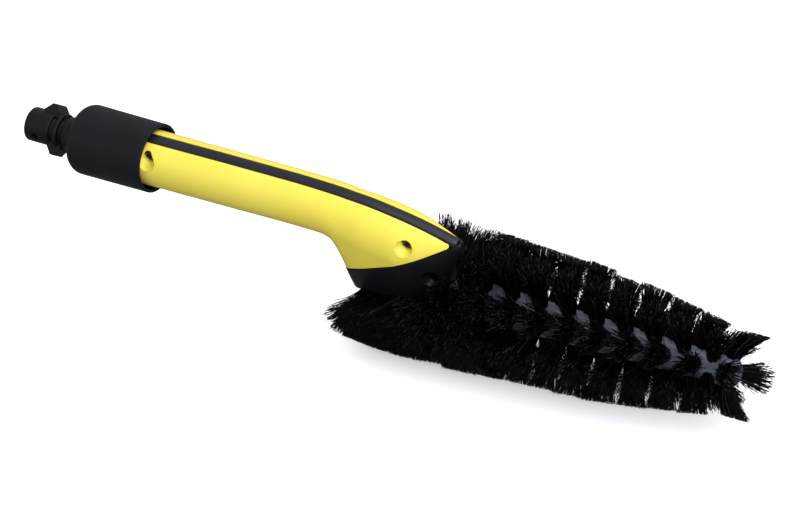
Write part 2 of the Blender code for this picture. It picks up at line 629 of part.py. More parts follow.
def head_base(name, side):
    stations = (spread(190.0 * MM, 204.0 * MM, 2.0 * MM) + spread(208.0 * MM, 256.0 * MM, 8.0 * MM)
                + [260.0 * MM, 263.0 * MM, 266.0 * MM, 267.4 * MM])
    base = add_piece(name, half_body(name, stations, side, BASE_LIP), BLACK_PLASTIC)
    cradle = (CORE_RADIUS_REAR + GAP + BAND_THICKNESS) / math.cos(math.pi / (2.0 * TUFTS_PER_RING)) + 2.0 * GAP
    inside = spread(193.0 * MM, 205.0 * MM, 3.0 * MM) + spread(210.0 * MM, 250.0 * MM, 10.0 * MM)
    inside.append(258.0 * MM)
    cavity = add_cutter(name + "_cavity", full_body(name + "_cavity", inside, lambda x: BASE_WALL))
    cut(cavity, split_plane_block(name + "_deck", True, -3.0 * MM))
    cut(cavity, x_rod(name + "_roof", cradle + 2.2 * MM, 190.0 * MM, 290.0 * MM, BRUSH_AXIS))
    cut(cavity, screw_rod(name + "_screw_boss", "base_screw", BOSS_RADIUS, -side * 2.0 * MM,
                          side * 30.0 * MM))
    carve(base, cavity, split_plane_block(name + "_top", True, -GAP),
          plane_block(name + "_bottom", BASE_BOTTOM_START, BASE_BOTTOM_END, False),
          x_rod(name + "_cradle", cradle, CORE_START - 2.0 * GAP, 290.0 * MM, BRUSH_AXIS),
          z_rod(name + "_boss_room", CORE_BOSS_RADIUS + GAP, TUBE_DROP, BRUSH_AXIS, -20.0 * MM),
          z_rod(name + "_tube_hole", TUBE_RADIUS + GAP, TUBE_DROP, -30.0 * MM, 0.0))
    drill_for_screw(base, name, "base_screw", side)
    shade_round(base, 30.0)


# Brush ---------------------------------------------------------------------------------------
def brush_core():
    """The hollow tapered core, closed at the rear, with the boss that takes the water tube."""
    floor, bore = CORE_START + CORE_WALL, CORE_RADIUS_FRONT - CORE_WALL
    profile = [(CORE_START, 0.0), (CORE_START, CORE_RADIUS_REAR - 1.0 * MM),
               (CORE_START + 1.0 * MM, CORE_RADIUS_REAR), (CORE_END, CORE_RADIUS_FRONT), (CORE_END, bore),
               (CORE_END - 8.0 * MM, bore), (floor, CORE_RADIUS_REAR - CORE_WALL), (floor, 0.0)]
    core = turned("brush_core", profile, [], BLACK_PLASTIC, 24, z=BRUSH_AXIS)
    boss = z_rod("core_boss", CORE_BOSS_RADIUS, TUBE_DROP, BRUSH_AXIS + 6.0 * MM, CORE_BOSS_TOP)
    cut(boss, x_rod("core_boss_inside", CORE_RADIUS_REAR - CORE_WALL, CORE_START + 5.0 * MM,
                    260.0 * MM, BRUSH_AXIS))
    cut(core, boss, "UNION")
    above = CORE_BOSS_TOP + 1.0 * MM
    carve(core, z_rod("core_inlet", TUBE_RADIUS + GAP, TUBE_DROP, BRUSH_AXIS, above),
          z_rod("core_seal_room", TUBE_RADIUS + 1.8 * MM, TUBE_DROP, CORE_BOSS_TOP - 2.2 * MM, above))
    for i in range(OUTLETS):
        x = FIRST_RING + (5.5 + 3 * i) * RING_PITCH
        bottom = BRUSH_AXIS - (OUTLET_LENGTH if i % 2 else 0.0)
        carve(core, z_rod(f"water_outlet_{i}", OUTLET_RADIUS, x, bottom, bottom + OUTLET_LENGTH, 8))


def tube_seal():
    """The O-ring round the water tube where it enters the core's boss."""
    ring = o_ring("tube_o_ring_front", 0.0, TUBE_RADIUS + SEAL_THICKNESS + 0.4 * MM)
    ring.rotation_euler = (0.0, 0.0, 0.0)
    ring.location = (TUBE_DROP, 0.0, CORE_BOSS_TOP - 1.1 * MM)


def core_end_plug():
    bore = CORE_RADIUS_FRONT - CORE_WALL - GAP
    profile = [(CORE_END - PLUG_DEPTH, 0.0), (CORE_END - PLUG_DEPTH, bore), (CORE_END + GAP, bore),
               (CORE_END + GAP, CORE_RADIUS_FRONT), (CORE_END + 1.5 * MM, CORE_RADIUS_FRONT),
               (CORE_END + 3.2 * MM, CORE_RADIUS_FRONT - 2.0 * MM), (CORE_END + 3.8 * MM, 0.0)]
    turned("core_end_plug", profile, [], BLACK_PLASTIC, 24, z=BRUSH_AXIS)


def angle_from_top(point):
    """Degrees between a point and straight up, round the brush axis, in a turned piece's own frame."""
    return 180.0 - math.degrees(math.acos(point.x / math.hypot(point.x, point.y)))


def tuft_ring(index):
    """One ring of tufts: a thin eight-sided band on the core, with every second facet drawn out.
    Under the base the band is open at the top and carries only the tufts that clear the base."""
    x = FIRST_RING + index * RING_PITCH
    sides = 2 * TUFTS_PER_RING
    inner = core_radius(x - BAND_WIDTH / 2.0) + GAP
    corner = (inner + BAND_THICKNESS) / math.cos(math.pi / sides)
    reach, lean = smooth(TUFT_REACH, x / MM) * MM, smooth(TUFT_LEAN, x / MM) * MM
    shadow = smooth(HEAD_SHADOW, x / MM)
    bm = bmesh.new()
    bmesh.ops.create_cone(bm, cap_ends=False, segments=sides, radius1=corner, radius2=corner,
                          depth=BAND_WIDTH)
    bmesh.ops.rotate(bm, verts=bm.verts, matrix=Matrix.Rotation(math.pi / sides, 3, "Z"))
    hidden = [face for face in bm.faces if angle_from_top(face.calc_center_median()) < shadow - 25.0]
    bmesh.ops.delete(bm, geom=hidden, context="FACES")
    bmesh.ops.solidify(bm, geom=bm.faces[:], thickness=BAND_THICKNESS)
    rooted = []
    for face in bm.faces:
        centre = face.calc_center_median()
        facet = round(math.degrees(math.atan2(centre.y, centre.x)) * sides / 360.0)
        outward = face.normal.dot(Vector((centre.x, centre.y, 0.0))) > 0.9 * inner
        if outward and (facet + index) % 2 == 0 and angle_from_top(centre) >= shadow:
            rooted.append(face)
    for face in bmesh.ops.extrude_discrete_faces(bm, faces=rooted)["faces"]:
        centre = face.calc_center_median()
        direction = Vector((centre.x, centre.y, 0.0)).normalized()
        tip = direction * reach + Vector((0.0, 0.0, lean))
        grow = TUFT_SPREAD * reach / (BAND_WIDTH / 2.0)
        for vert in face.verts:
            vert.co = tip + (vert.co - centre) * grow
    ring = add_piece(f"tuft_ring_{index + 1:02d}", bmesh_to_mesh("tuft_ring", bm), BRISTLE)
    lay_along_x(ring, x, BRUSH_AXIS)


# Assembly ------------------------------------------------------------------------------------
def stand_on_ground():
    """Put the frame where the object's box stands on the origin with the middle of its foot."""
    bpy.context.view_layer.update()
    depsgraph = bpy.context.evaluated_depsgraph_get()
    low = Vector((1.0, 1.0, 1.0))
    high = -low
    for obj in PARTS.objects:
        if obj.type != "MESH":
            continue
        piece = obj.evaluated_get(depsgraph)
        for vert in piece.data.vertices:
            point = piece.matrix_world @ vert.co
            low = Vector(map(min, low, point))
            high = Vector(map(max, high, point))
    HANDLE_FRAME.location = (-(low.x + high.x) / 2.0, -(low.y + high.y) / 2.0, -low.z)


PARTS, CUTTERS = start_scene()
YELLOW_PLASTIC = make_material("yellow_plastic", (0.86, 0.68, 0.05), 0.42)
BLACK_PLASTIC = make_material("black_plastic", (0.018, 0.018, 0.02), 0.5)
WHITE_PLASTIC = make_material("white_plastic", (0.75, 0.75, 0.72), 0.4)
RUBBER = make_material("seal_rubber", (0.012, 0.012, 0.012), 0.65)
BRISTLE = make_material("bristle", (0.01, 0.01, 0.011), 0.55)
STEEL = make_material("steel", (0.55, 0.56, 0.57), 0.3, 1.0)

HANDLE_FRAME = bpy.data.objects.new("handle_frame", None)
PARTS.objects.link(HANDLE_FRAME)
SWIVEL_AXIS = bpy.data.objects.new("swivel_axis", None)
PARTS.objects.link(SWIVEL_AXIS)
SWIVEL_AXIS.parent = HANDLE_FRAME

build_coupling()
build_water_joint()
water_tube()
handle_shell("handle_shell_left", -1.0)
handle_shell("handle_shell_right", 1.0)
spine_strip()
head_base("head_base_left", -1.0)
head_base("head_base_right", 1.0)
brush_core()
tube_seal()
core_end_plug()
for ring_index in range(RING_COUNT):
    tuft_ring(ring_index)
for screw_name in SCREWS:
    screw(screw_name)
stand_on_ground()
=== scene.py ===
"""Looks of the water-fed wheel brush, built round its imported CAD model.

Two bodies carry everything: "coupling" (inlet and collar, which swivel) and "handle" (all the rest).
Sizes are in millimetres, in the handle's own frame as far as a size goes: x runs from the inlet's nose
face to the tip of the brush, z out of the handle's spine, and y = 0 is where the two shells meet.
place() moves such a point to where the CAD model has it, in metres.
"""
import math

import bmesh
import bpy
import numpy as np
from mathutils import Matrix, Vector


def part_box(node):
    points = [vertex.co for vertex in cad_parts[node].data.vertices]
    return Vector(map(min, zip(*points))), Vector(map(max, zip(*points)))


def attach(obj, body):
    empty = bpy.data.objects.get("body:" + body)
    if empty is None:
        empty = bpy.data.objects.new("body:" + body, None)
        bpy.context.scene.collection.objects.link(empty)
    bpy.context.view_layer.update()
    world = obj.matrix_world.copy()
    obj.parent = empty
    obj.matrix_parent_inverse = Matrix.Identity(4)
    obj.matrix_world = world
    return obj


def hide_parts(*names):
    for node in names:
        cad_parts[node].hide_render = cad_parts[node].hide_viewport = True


MM = 0.001
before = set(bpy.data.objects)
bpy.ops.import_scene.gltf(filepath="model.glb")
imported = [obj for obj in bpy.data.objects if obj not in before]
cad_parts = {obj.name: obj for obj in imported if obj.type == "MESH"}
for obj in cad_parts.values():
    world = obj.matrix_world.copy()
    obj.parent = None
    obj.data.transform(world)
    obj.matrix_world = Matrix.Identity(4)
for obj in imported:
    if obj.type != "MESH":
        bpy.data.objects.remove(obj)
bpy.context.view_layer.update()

# Where the handle's frame lies in the CAD model
collar_low, collar_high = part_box("coupling_collar")
core_low, core_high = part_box("brush_core")
plug_low, plug_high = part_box("core_end_plug")
NOSE_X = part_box("bayonet_inlet")[0].x / MM
HANDLE_Z = (collar_low.z + collar_high.z) / 2.0 / MM
BRUSH_Z = (plug_low.z + plug_high.z) / 2.0 / MM - HANDLE_Z

# Measures read from the CAD pieces, in the handle's frame
COLLAR_REAR = collar_low.x / MM - NOSE_X
COLLAR_MOUTH = collar_high.x / MM - NOSE_X
COLLAR_RADIUS = (collar_high.z - collar_low.z) / 2.0 / MM
HANDLE_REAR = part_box("handle_shell_left")[0].x / MM - NOSE_X
CORE_START = core_low.x / MM - NOSE_X
CORE_END = core_high.x / MM - NOSE_X
CORE_RADIUS_REAR = core_high.y / MM
CORE_RADIUS_FRONT = plug_high.y / MM
CORE_TOP = core_high.z / MM - HANDLE_Z
RING_COUNT = sum(name.startswith("tuft_ring_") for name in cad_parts)

# Coupling
COLLAR_BORE = 6.2
NOSE_RADIUS = 9.3                    # and the radius of the hub behind the neck
NECK_RADIUS = 7.2
LUG_WIDTH = 9.0
LUG_CROWN = 13.6                     # the locking lugs' highest point, from the axis
LUG_TURN = 132.0                     # the lower lug's angle about the axis; the upper one is opposite

# Handle and head
GAP = 0.3                            # between pieces that touch
SHELL_WALL = 1.6
SHELL_EDGE = 0.45                    # rounding of the shells' edges
STRIP_WIDTH = 6.6
SPLIT_START = (204.0, -26.0)         # (x, z) of the inclined plane between shells and base
SPLIT_END = (266.0, 0.2)
BASE_BOTTOM_START = (204.0, -39.2)   # (x, z) of the base's flat underside
BASE_BOTTOM_END = (266.0, -31.0)
BASE_LIP = 0.4                       # how far the base stands out past the shells
SCREW_PLACES = {                     # (x, z) of the axis, and the head's distance from the parting plane
    "handle_screw_rear": (82.8, 9.4, 6.0),
    "handle_screw_front": (240.5, -1.0, 7.4),
    "base_screw": (253.0, -20.6, 5.6),
}
RECESS_RADIUS = 3.4
DISH_RADIUS = 5.4                    # of the dished mouth of a screw's recess
DISH_DEPTH = 2.6
BOSS_RADIUS = 5.8
SCREW_HOLE_RADIUS = 1.8
SHELL_TIP_ANGLE = 0.30               # radians left between strip and base where the shell rounds off
SHELL_TIP_LENGTH = 1.6
SHELL_COLUMNS = 56                   # faces across a shell
STRIP_END = 265.8
STRIP_ROUNDING = 3.0                 # length of the strip's rounded front end
STRIP_PROUD = 0.12                   # above the skin
STRIP_DEPTH = 3.2
STRIP_EDGE = 0.8
OUTSIDE = 40.0                       # from the parting plane to well clear of the handle
CUTTER_SIZE = Vector((190.0, 70.0, 90.0))      # of the blocks that trim the head base

# x, spine height, height of the widest line, keel height, half width, squareness of the lower half
STATIONS = (
    (46.0, 15.0, 0.0, -15.0, 15.0, 2.0),
    (81.0, 15.0, 0.0, -15.0, 15.0, 2.0),
    (130.0, 15.5, 0.0, -14.4, 14.8, 2.0),
    (170.0, 15.6, 0.0, -13.9, 14.5, 2.0),
    (187.0, 15.1, 0.0, -14.4, 14.5, 2.0),
    (193.5, 14.8, -0.6, -17.6, 14.6, 2.0),
    (197.0, 14.6, -1.8, -25.5, 14.7, 2.2),
    (200.0, 14.4, -3.8, -35.5, 14.9, 2.6),
    (203.5, 14.0, -5.8, -47.0, 15.2, 3.3),
    (207.0, 13.7, -6.8, -54.0, 15.6, 3.6),
    (215.0, 12.9, -8.0, -58.0, 16.2, 3.6),
    (232.0, 10.0, -11.0, -58.0, 16.3, 3.3),
    (242.0, 7.9, -12.0, -54.0, 14.5, 3.0),
    (252.0, 5.4, -12.0, -44.0, 11.1, 2.5),
    (260.0, 3.2, -9.0, -28.0, 7.2, 2.2),
    (264.0, 1.9, -4.0, -12.0, 4.4, 2.0),
    (266.0, 1.1, -3.0, -8.0, 3.2, 2.0),
    (268.0, 0.2, -2.5, -5.0, 1.4, 2.0),
)

# Brush core
CORE_WALL = 3.0
FEED_X = 226.0                       # where water enters the core from the head, through a boss
FEED_BOSS_RADIUS = 8.7
FEED_BORE = 5.3
BAND_THICKNESS = 0.8                 # of the eight-sided band that carries a ring of tufts on the core

# Rings of tufts. In the tables here the first number of each pair is x.
FIRST_RING = 4.0                     # past the core's rear end
RING_PITCH = 8.25

# How far the tufts reach from the brush's axis, and how far their tips lean to the front
TUFT_REACH = ((205.0, 38.0), (231.0, 39.5), (281.0, 37.2), (331.0, 34.5), (381.0, 29.2), (420.0, 22.0))
TUFT_LEAN = ((205.0, 0.0), (215.0, -3.0), (228.0, -10.0), (245.0, -5.0), (253.0, 0.0), (261.0, 9.0),
             (269.0, 12.0), (278.0, 4.0), (290.0, 0.0), (385.0, 1.0), (400.0, 3.0), (409.0, 6.0),
             (418.0, 10.0))

# Degrees from straight up within which the head leaves no room: for tufts on the far side, for tufts on
# the near side, and for the roots of either
HEAD_SHADOW = ((205.0, 90.0), (215.0, 88.0), (228.0, 80.0), (240.0, 68.0), (250.0, 66.0), (262.0, 56.0),
               (268.0, 22.0), (274.0, 0.0))
NEAR_SHADOW = ((205.0, 90.0), (228.0, 82.0), (245.0, 72.0), (253.0, 64.0), (261.0, 40.0), (269.0, 20.0),
               (276.0, 0.0))
ROOT_SHADOW = ((205.0, 118.0), (222.0, 100.0), (236.0, 88.0), (250.0, 76.0), (258.0, 60.0), (266.0, 30.0),
               (272.0, 0.0))

# Half the width of a tuft's tip, along the brush and across it, as a share of the reach
FANNING = ((205.0, 0.25), (260.0, 0.25), (331.0, 0.26), (381.0, 0.30), (405.0, 0.32), (420.0, 0.34))
FLARE = ((205.0, 0.22), (265.0, 0.24), (300.0, 0.30), (395.0, 0.34), (420.0, 0.44))

TUFTS = 4                            # in a ring, and every other ring is turned by half a step
DENSE_UNTIL = 272.0                  # beside the head, before this x, the rings are fuller
DENSE_TUFTS = 16
SPARSE_BELOW = 86.0                  # there, far-side tufts nearer the top than this angle are thin
SPARSE_SHARE = 0.35
FRONT_TRIM = 434.0                   # the foremost tufts are cut off square here

# Filaments
FILAMENTS = 250                      # in a tuft
FILAMENT_RADIUS = 0.20
FILAMENT_TAPER = 0.85                # radius at the tip, as a share of the radius at the root
FILAMENT_POINTS = 10
ROOT_RADIUS = 3.4                    # of the hole that a tuft sits in
ROOT_DEPTH = 1.5                     # below the core's surface
WILD_SHARE, WILD_EXTRA = 0.04, 0.35  # a few filaments spread wider than the rest
SHORT_SHARE, SHORT_BY = 0.07, 0.25   # and a few fall short of the trimmed outline
BOW = (0.3, 0.8)                     # range of the pull towards a square start from the core
WAVES = (3.4, 4.6)                   # range of the number of ripples in a filament
RIPPLE = 0.32                        # their height

# Standard deviations of what differs from tuft to tuft, and from filament to filament
LEAN_VARIES = 0.4
TUFT_TRIM_VARIES = 0.012             # as a share of the reach, as the next two are
TRIM_VARIES = 0.008
SPREAD_VARIES = 0.03
TIP_VARIES = 0.2
FRONT_VARIES = 0.4


def place(x, y, z):
    """A point of the handle's frame, in the CAD model's metres."""
    return Vector(((x + NOSE_X) * MM, y * MM, (z + HANDLE_Z) * MM))


def smooth(points, x, column=1):
    """Cubic through (x, value...) rows, without overshoot: slopes are zero at turning points."""
    xs = [row[0] for row in points]
    ys = [row[column] for row in points]
    if x <= xs[0]:
        return ys[0]
    if x >= xs[-1]:
        return ys[-1]
    steps = [(ys[i + 1] - ys[i]) / (xs[i + 1] - xs[i]) for i in range(len(xs) - 1)]
    slopes = [steps[0]] + [0.0 if a * b <= 0.0 else 2.0 * a * b / (a + b)
                           for a, b in zip(steps, steps[1:])] + [steps[-1]]
    i = max(k for k in range(len(xs) - 1) if xs[k] <= x)
    span = xs[i + 1] - xs[i]
    t = (x - xs[i]) / span
    return (ys[i] * (1.0 + 2.0 * t) * (1.0 - t) ** 2 + slopes[i] * span * t * (1.0 - t) ** 2
            + ys[i + 1] * t * t * (3.0 - 2.0 * t) + slopes[i + 1] * span * t * t * (t - 1.0))


def spread(start, end, step):
    """Even steps of about this size from start to end, both included."""
    count = max(1, round((end - start) / step))
    return [start + (end - start) * i / count for i in range(count + 1)]


# Materials -----------------------------------------------------------------------------------
EDGE_SOFTNESS = 0.35 * MM            # radius that shading gives to the moulded edges


class Finish:
    """A Principled material and the few node patterns that these plastics need."""

    def __init__(self, name, colour, roughness, specular=0.5, metallic=0.0):
        self.material = bpy.data.materials.new(name)
        self.material.use_nodes = True
        self.tree = self.material.node_tree
        self.shader = self.tree.nodes["Principled BSDF"]
        self.shader.inputs["Base Color"].default_value = (*colour, 1.0)
        self.shader.inputs["Roughness"].default_value = roughness
        self.shader.inputs["Specular IOR Level"].default_value = specular
        self.shader.inputs["Metallic"].default_value = metallic
        self.where = self.tree.nodes.new("ShaderNodeTexCoord").outputs["Object"]
        self.height = None

    def link(self, start, end):
        self.tree.links.new(start, end)

    def noise(self, scale, detail=2.0, stretch=None):
        node = self.tree.nodes.new("ShaderNodeTexNoise")
        node.inputs["Scale"].default_value = scale
        node.inputs["Detail"].default_value = detail
        place_from = self.where
        if stretch:
            mapping = self.tree.nodes.new("ShaderNodeMapping")
            mapping.inputs["Scale"].default_value = stretch
            self.link(self.where, mapping.inputs["Vector"])
            place_from = mapping.outputs["Vector"]
        self.link(place_from, node.inputs["Vector"])
        return node.outputs["Fac"]

    def cells(self, scale):
        node = self.tree.nodes.new("ShaderNodeTexVoronoi")
        node.feature = "F1"
        node.inputs["Scale"].default_value = scale
        self.link(self.where, node.inputs["Vector"])
        return node.outputs["Distance"]

    def spans(self, value, low, high, socket, start=0.3, end=0.7):
        """Runs a socket from low to high as value goes from start to end."""
        node = self.tree.nodes.new("ShaderNodeMapRange")
        node.inputs["From Min"].default_value = start
        node.inputs["From Max"].default_value = end
        node.inputs["To Min"].default_value = low
        node.inputs["To Max"].default_value = high
        self.link(value, node.inputs["Value"])
        self.link(node.outputs["Result"], self.shader.inputs[socket])

    def two_tone(self, value, first, second, start=0.35, end=0.65):
        ramp = self.tree.nodes.new("ShaderNodeValToRGB")
        ramp.color_ramp.elements[0].position = start
        ramp.color_ramp.elements[1].position = end
        ramp.color_ramp.elements[0].color = (*first, 1.0)
        ramp.color_ramp.elements[1].color = (*second, 1.0)
        self.link(value, ramp.inputs["Fac"])
        self.link(ramp.outputs["Color"], self.shader.inputs["Base Color"])

    def bump(self, value, distance, strength):
        """Adds relief on top of whatever relief the material has."""
        node = self.tree.nodes.new("ShaderNodeBump")
        node.inputs["Strength"].default_value = strength
        node.inputs["Distance"].default_value = distance
        self.link(value, node.inputs["Height"])
        if self.height:
            self.link(self.height, node.inputs["Normal"])
        self.height = node.outputs["Normal"]
        self.link(self.height, self.shader.inputs["Normal"])

    def soft_edges(self):
        """Rounds the shading of tight moulded edges."""
        node = self.tree.nodes.new("ShaderNodeBevel")
        node.samples = 6
        node.inputs["Radius"].default_value = EDGE_SOFTNESS
        self.height = node.outputs["Normal"]
        self.link(self.height, self.shader.inputs["Normal"])


def yellow_finish():
    finish = Finish("lemon_yellow_moulded", (0.78, 0.65, 0.075), 0.42, specular=0.45)
    finish.two_tone(finish.noise(14.0), (0.765, 0.63, 0.066), (0.80, 0.67, 0.084))
    finish.spans(finish.noise(90.0, 3.0), 0.38, 0.47, "Roughness")
    finish.soft_edges()
    finish.bump(finish.noise(2600.0, 2.0), 0.03 * MM, 0.5)
    return finish.material


def black_finish(name, colour, roughness, grain, specular):
    """Moulded black plastic: slightly uneven in colour and gloss, over a fine pebbled grain."""
    variation = 0.06
    finish = Finish(name, colour, roughness, specular)
    lighter = tuple(value * 1.25 for value in colour)
    finish.two_tone(finish.noise(40.0, 3.0), colour, lighter)
    finish.spans(finish.noise(150.0, 3.0), roughness - variation, roughness + variation, "Roughness")
    finish.soft_edges()
    finish.bump(finish.cells(1500.0), grain, 0.5)
    return finish.material


def bristle_finish():
    """Black polypropylene. The mesh's 'shade' attribute gives each filament its own roughness, and turns the
    highest tenth of them from near black to grey: painted glints.
    """
    finish = Finish("black_filament_painted_glints", (0.004, 0.004, 0.005), 0.36, specular=0.08)
    shade = finish.tree.nodes.new("ShaderNodeAttribute")
    shade.attribute_name = "shade"
    # painted glints: filaments whose 'shade' value is above 0.9 are lifted from near black to grey
    finish.two_tone(shade.outputs["Fac"], (0.0007, 0.0006, 0.0011), (0.034, 0.036, 0.043), 0.90, 1.0)
    finish.spans(shade.outputs["Fac"], 0.46, 0.30, "Roughness", 0.0, 1.0)
    return finish.material


def rubber_finish():
    finish = Finish("seal_rubber_moulded", (0.012, 0.012, 0.012), 0.7, specular=0.3)
    finish.spans(finish.noise(300.0), 0.62, 0.78, "Roughness")
    finish.bump(finish.noise(1800.0), 0.02 * MM, 0.4)
    return finish.material


def white_finish():
    finish = Finish("white_acetal", (0.74, 0.74, 0.71), 0.38)
    finish.two_tone(finish.noise(60.0), (0.72, 0.72, 0.68), (0.77, 0.77, 0.74))
    finish.spans(finish.noise(200.0), 0.34, 0.45, "Roughness")
    return finish.material


def steel_finish():
    finish = Finish("dark_plated_steel", (0.05, 0.05, 0.055), 0.3, metallic=1.0)
    finish.two_tone(finish.noise(260.0, 4.0), (0.040, 0.040, 0.043), (0.065, 0.065, 0.070))
    finish.spans(finish.noise(700.0, 3.0, (1.0, 0.2, 1.0)), 0.24, 0.42, "Roughness")
    finish.bump(finish.noise(1600.0), 0.01 * MM, 0.4)
    return finish.material


def floor_finish():
    finish = Finish("pale_floor", (0.93, 0.93, 0.93), 0.7, specular=0.1)
    finish.two_tone(finish.noise(1.5), (0.925, 0.925, 0.925), (0.94, 0.94, 0.94))
    finish.shader.inputs["Emission Color"].default_value = (1.0, 1.0, 1.0, 1.0)
    finish.shader.inputs["Emission Strength"].default_value = 0.35
    return finish.material


YELLOW = yellow_finish()
COLLAR_BLACK = black_finish("collar_black", (0.0045, 0.0045, 0.0070), 0.50, 0.05 * MM, 0.16)
INLET_BLACK = black_finish("inlet_black", (0.0035, 0.0035, 0.0048), 0.42, 0.02 * MM, 0.17)
BASE_BLACK = black_finish("base_black", (0.0060, 0.0060, 0.0075), 0.36, 0.015 * MM, 0.14)
# strip plastic: its own black, with extra blue in the base colour as a painted bluish sheen
STRIP_BLACK_PAINTED_SHEEN = black_finish("strip_black_painted_sheen", (0.008, 0.008, 0.0115), 0.34, 0.03 * MM, 0.30)
# core plastic: its own dark grey, lifted and blued in the base colour as a painted sky reflection
CORE_GREY_PAINTED_SHEEN = black_finish("core_grey_painted_sheen", (0.060, 0.068, 0.092), 0.32, 0.015 * MM, 0.7)
BRISTLE = bristle_finish()
RUBBER = rubber_finish()
WHITE = white_finish()
STEEL = steel_finish()


# Mesh helpers --------------------------------------------------------------------------------
def add_object(name, mesh, material):
    obj = bpy.data.objects.new(name, mesh)
    bpy.context.scene.collection.objects.link(obj)
    mesh.materials.clear()
    mesh.materials.append(material)
    return obj


def finish_piece(obj, body, node):
    """Puts a piece on its body, in place of a CAD node."""
    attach(obj, body)
    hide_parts(node)


def bmesh_to_mesh(name, bm):
    bmesh.ops.recalc_face_normals(bm, faces=bm.faces)
    mesh = bpy.data.meshes.new(name)
    bm.to_mesh(mesh)
    bm.free()
    return mesh


def shade(obj, angle=35.0):
    """Smooth shading, with edges sharper than the angle kept crisp."""
    obj.data.shade_smooth()
    obj.data.set_sharp_from_angle(angle=math.radians(angle))


def loft(name, sections):
    """A closed skin over equal-length loops of points, with a face at each end."""
    bm = bmesh.new()
    rings = [[bm.verts.new(point) for point in section] for section in sections]
    for ring, following in zip(rings, rings[1:]):
        for i, vert in enumerate(ring):
            j = (i + 1) % len(ring)
            bm.faces.new((vert, ring[j], following[j], following[i]))
    bm.faces.new(rings[0])
    bm.faces.new(rings[-1])
    return bmesh_to_mesh(name, bm)


def rounded(points, radius, closed=False, count=4):
    """The same outline with its corners rounded off, apart from the gentlest ones."""
    gentle = math.radians(8.0)
    result = []
    for i, point in enumerate(points):
        if not closed and i in (0, len(points) - 1):
            result.append(point)
            continue
        corner = Vector(point)
        before, after = Vector(points[i - 1]), Vector(points[(i + 1) % len(points)])
        into, out = corner - before, after - corner
        turn = into.angle(out)
        if turn < gentle:
            result.append(point)
            continue
        back = min(radius * math.tan(turn / 2.0), 0.42 * into.length, 0.42 * out.length)
        start, end = corner - into.normalized() * back, corner + out.normalized() * back
        for k in range(count + 1):
            t = k / count
            result.append(tuple(start * (1 - t) ** 2 + corner * 2 * t * (1 - t) + end * t * t))
    return result


def spun(name, points, centre, axis, steps, ring=False):
    """A mesh spun from points about the axis through centre. With ring set they form a closed loop."""
    bm = bmesh.new()
    verts = [bm.verts.new(point) for point in points]
    pairs = list(zip(verts, verts[1:])) + ([(verts[-1], verts[0])] if ring else [])
    edges = [bm.edges.new(pair) for pair in pairs]
    bmesh.ops.spin(bm, geom=verts + edges, cent=centre, axis=axis, angle=math.tau, steps=steps,
                   use_merge=True)
    bmesh.ops.remove_doubles(bm, verts=bm.verts, dist=0.002 * MM)
    return bmesh_to_mesh(name, bm)


def turned(name, outline, z=0.0, steps=128, ring=False):
    """A mesh spun from (x, radius) points about a line along x, at height z."""
    points = [place(x, 0.0, z + radius) for x, radius in outline]
    return spun(name, points, place(0.0, 0.0, z), (1.0, 0.0, 0.0), steps, ring)


def boolean(obj, cutter, operation, solver="EXACT"):
    """Applies one Boolean to obj and removes the cutter."""
    modifier = obj.modifiers.new("cut", "BOOLEAN")
    modifier.operation = operation
    modifier.object = cutter
    modifier.solver = solver
    evaluated = obj.evaluated_get(bpy.context.evaluated_depsgraph_get())
    mesh = bpy.data.meshes.new_from_object(evaluated)
    obj.modifiers.remove(modifier)
    mesh.materials.clear()
    for material in obj.data.materials:
        mesh.materials.append(material)
    obj.data = mesh
    bpy.data.objects.remove(cutter, do_unlink=True)


def rod(name, radius, start, end, steps=64):
    """A cylinder between two points of the handle's frame."""
    a, b = place(*start), place(*end)
    bm = bmesh.new()
    bmesh.ops.create_cone(bm, cap_ends=True, segments=steps, radius1=radius * MM, radius2=radius * MM,
                          depth=(b - a).length)
    turn = Vector((0.0, 0.0, 1.0)).rotation_difference(b - a).to_matrix().to_4x4()
    bm.transform(Matrix.Translation((a + b) / 2.0) @ turn)
    return add_object(name, bmesh_to_mesh(name, bm), BASE_BLACK)


# Outer form of handle and head ---------------------------------------------------------------
def section_point(x, angle, inset=0.0):
    """(y, z) of the skin at x, or as far under it as inset. Angle 0 is the spine, a right angle the
    widest line, and half a turn the keel."""
    least = 0.2                      # what an inset leaves of any measure
    spine, widest, keel, half, square = (smooth(STATIONS, x, column) for column in range(1, 6))
    sine, cosine = math.sin(angle), math.cos(angle)
    half = max(half - inset, least)
    if cosine >= 0.0:
        return half * sine, widest + max(spine - widest - inset, least) * cosine
    norm = (abs(sine) ** square + abs(cosine) ** square) ** (1.0 / square)
    return half * sine / norm, widest + max(widest - keel - inset, least) * cosine / norm


def split_height(x):
    """Height of the inclined plane between the shells and the base."""
    (x0, z0), (x1, z1) = SPLIT_START, SPLIT_END
    return z0 + (z1 - z0) * (x - x0) / (x1 - x0)


def angle_at_height(x, height):
    """The section angle where the skin crosses a height, or half a turn where the keel is above it."""
    if section_point(x, math.pi)[1] >= height:
        return math.pi
    low, high = 0.0, math.pi
    for _ in range(40):              # halvings, down to the last digits
        middle = (low + high) / 2.0
        if section_point(x, middle)[1] > height:
            low = middle
        else:
            high = middle
    return (low + high) / 2.0


def angle_at_width(x, width):
    """The section angle, above the widest line, where the skin is this far from the parting plane."""
    half = smooth(STATIONS, x, 4)
    return math.asin(min(1.0, width / half))


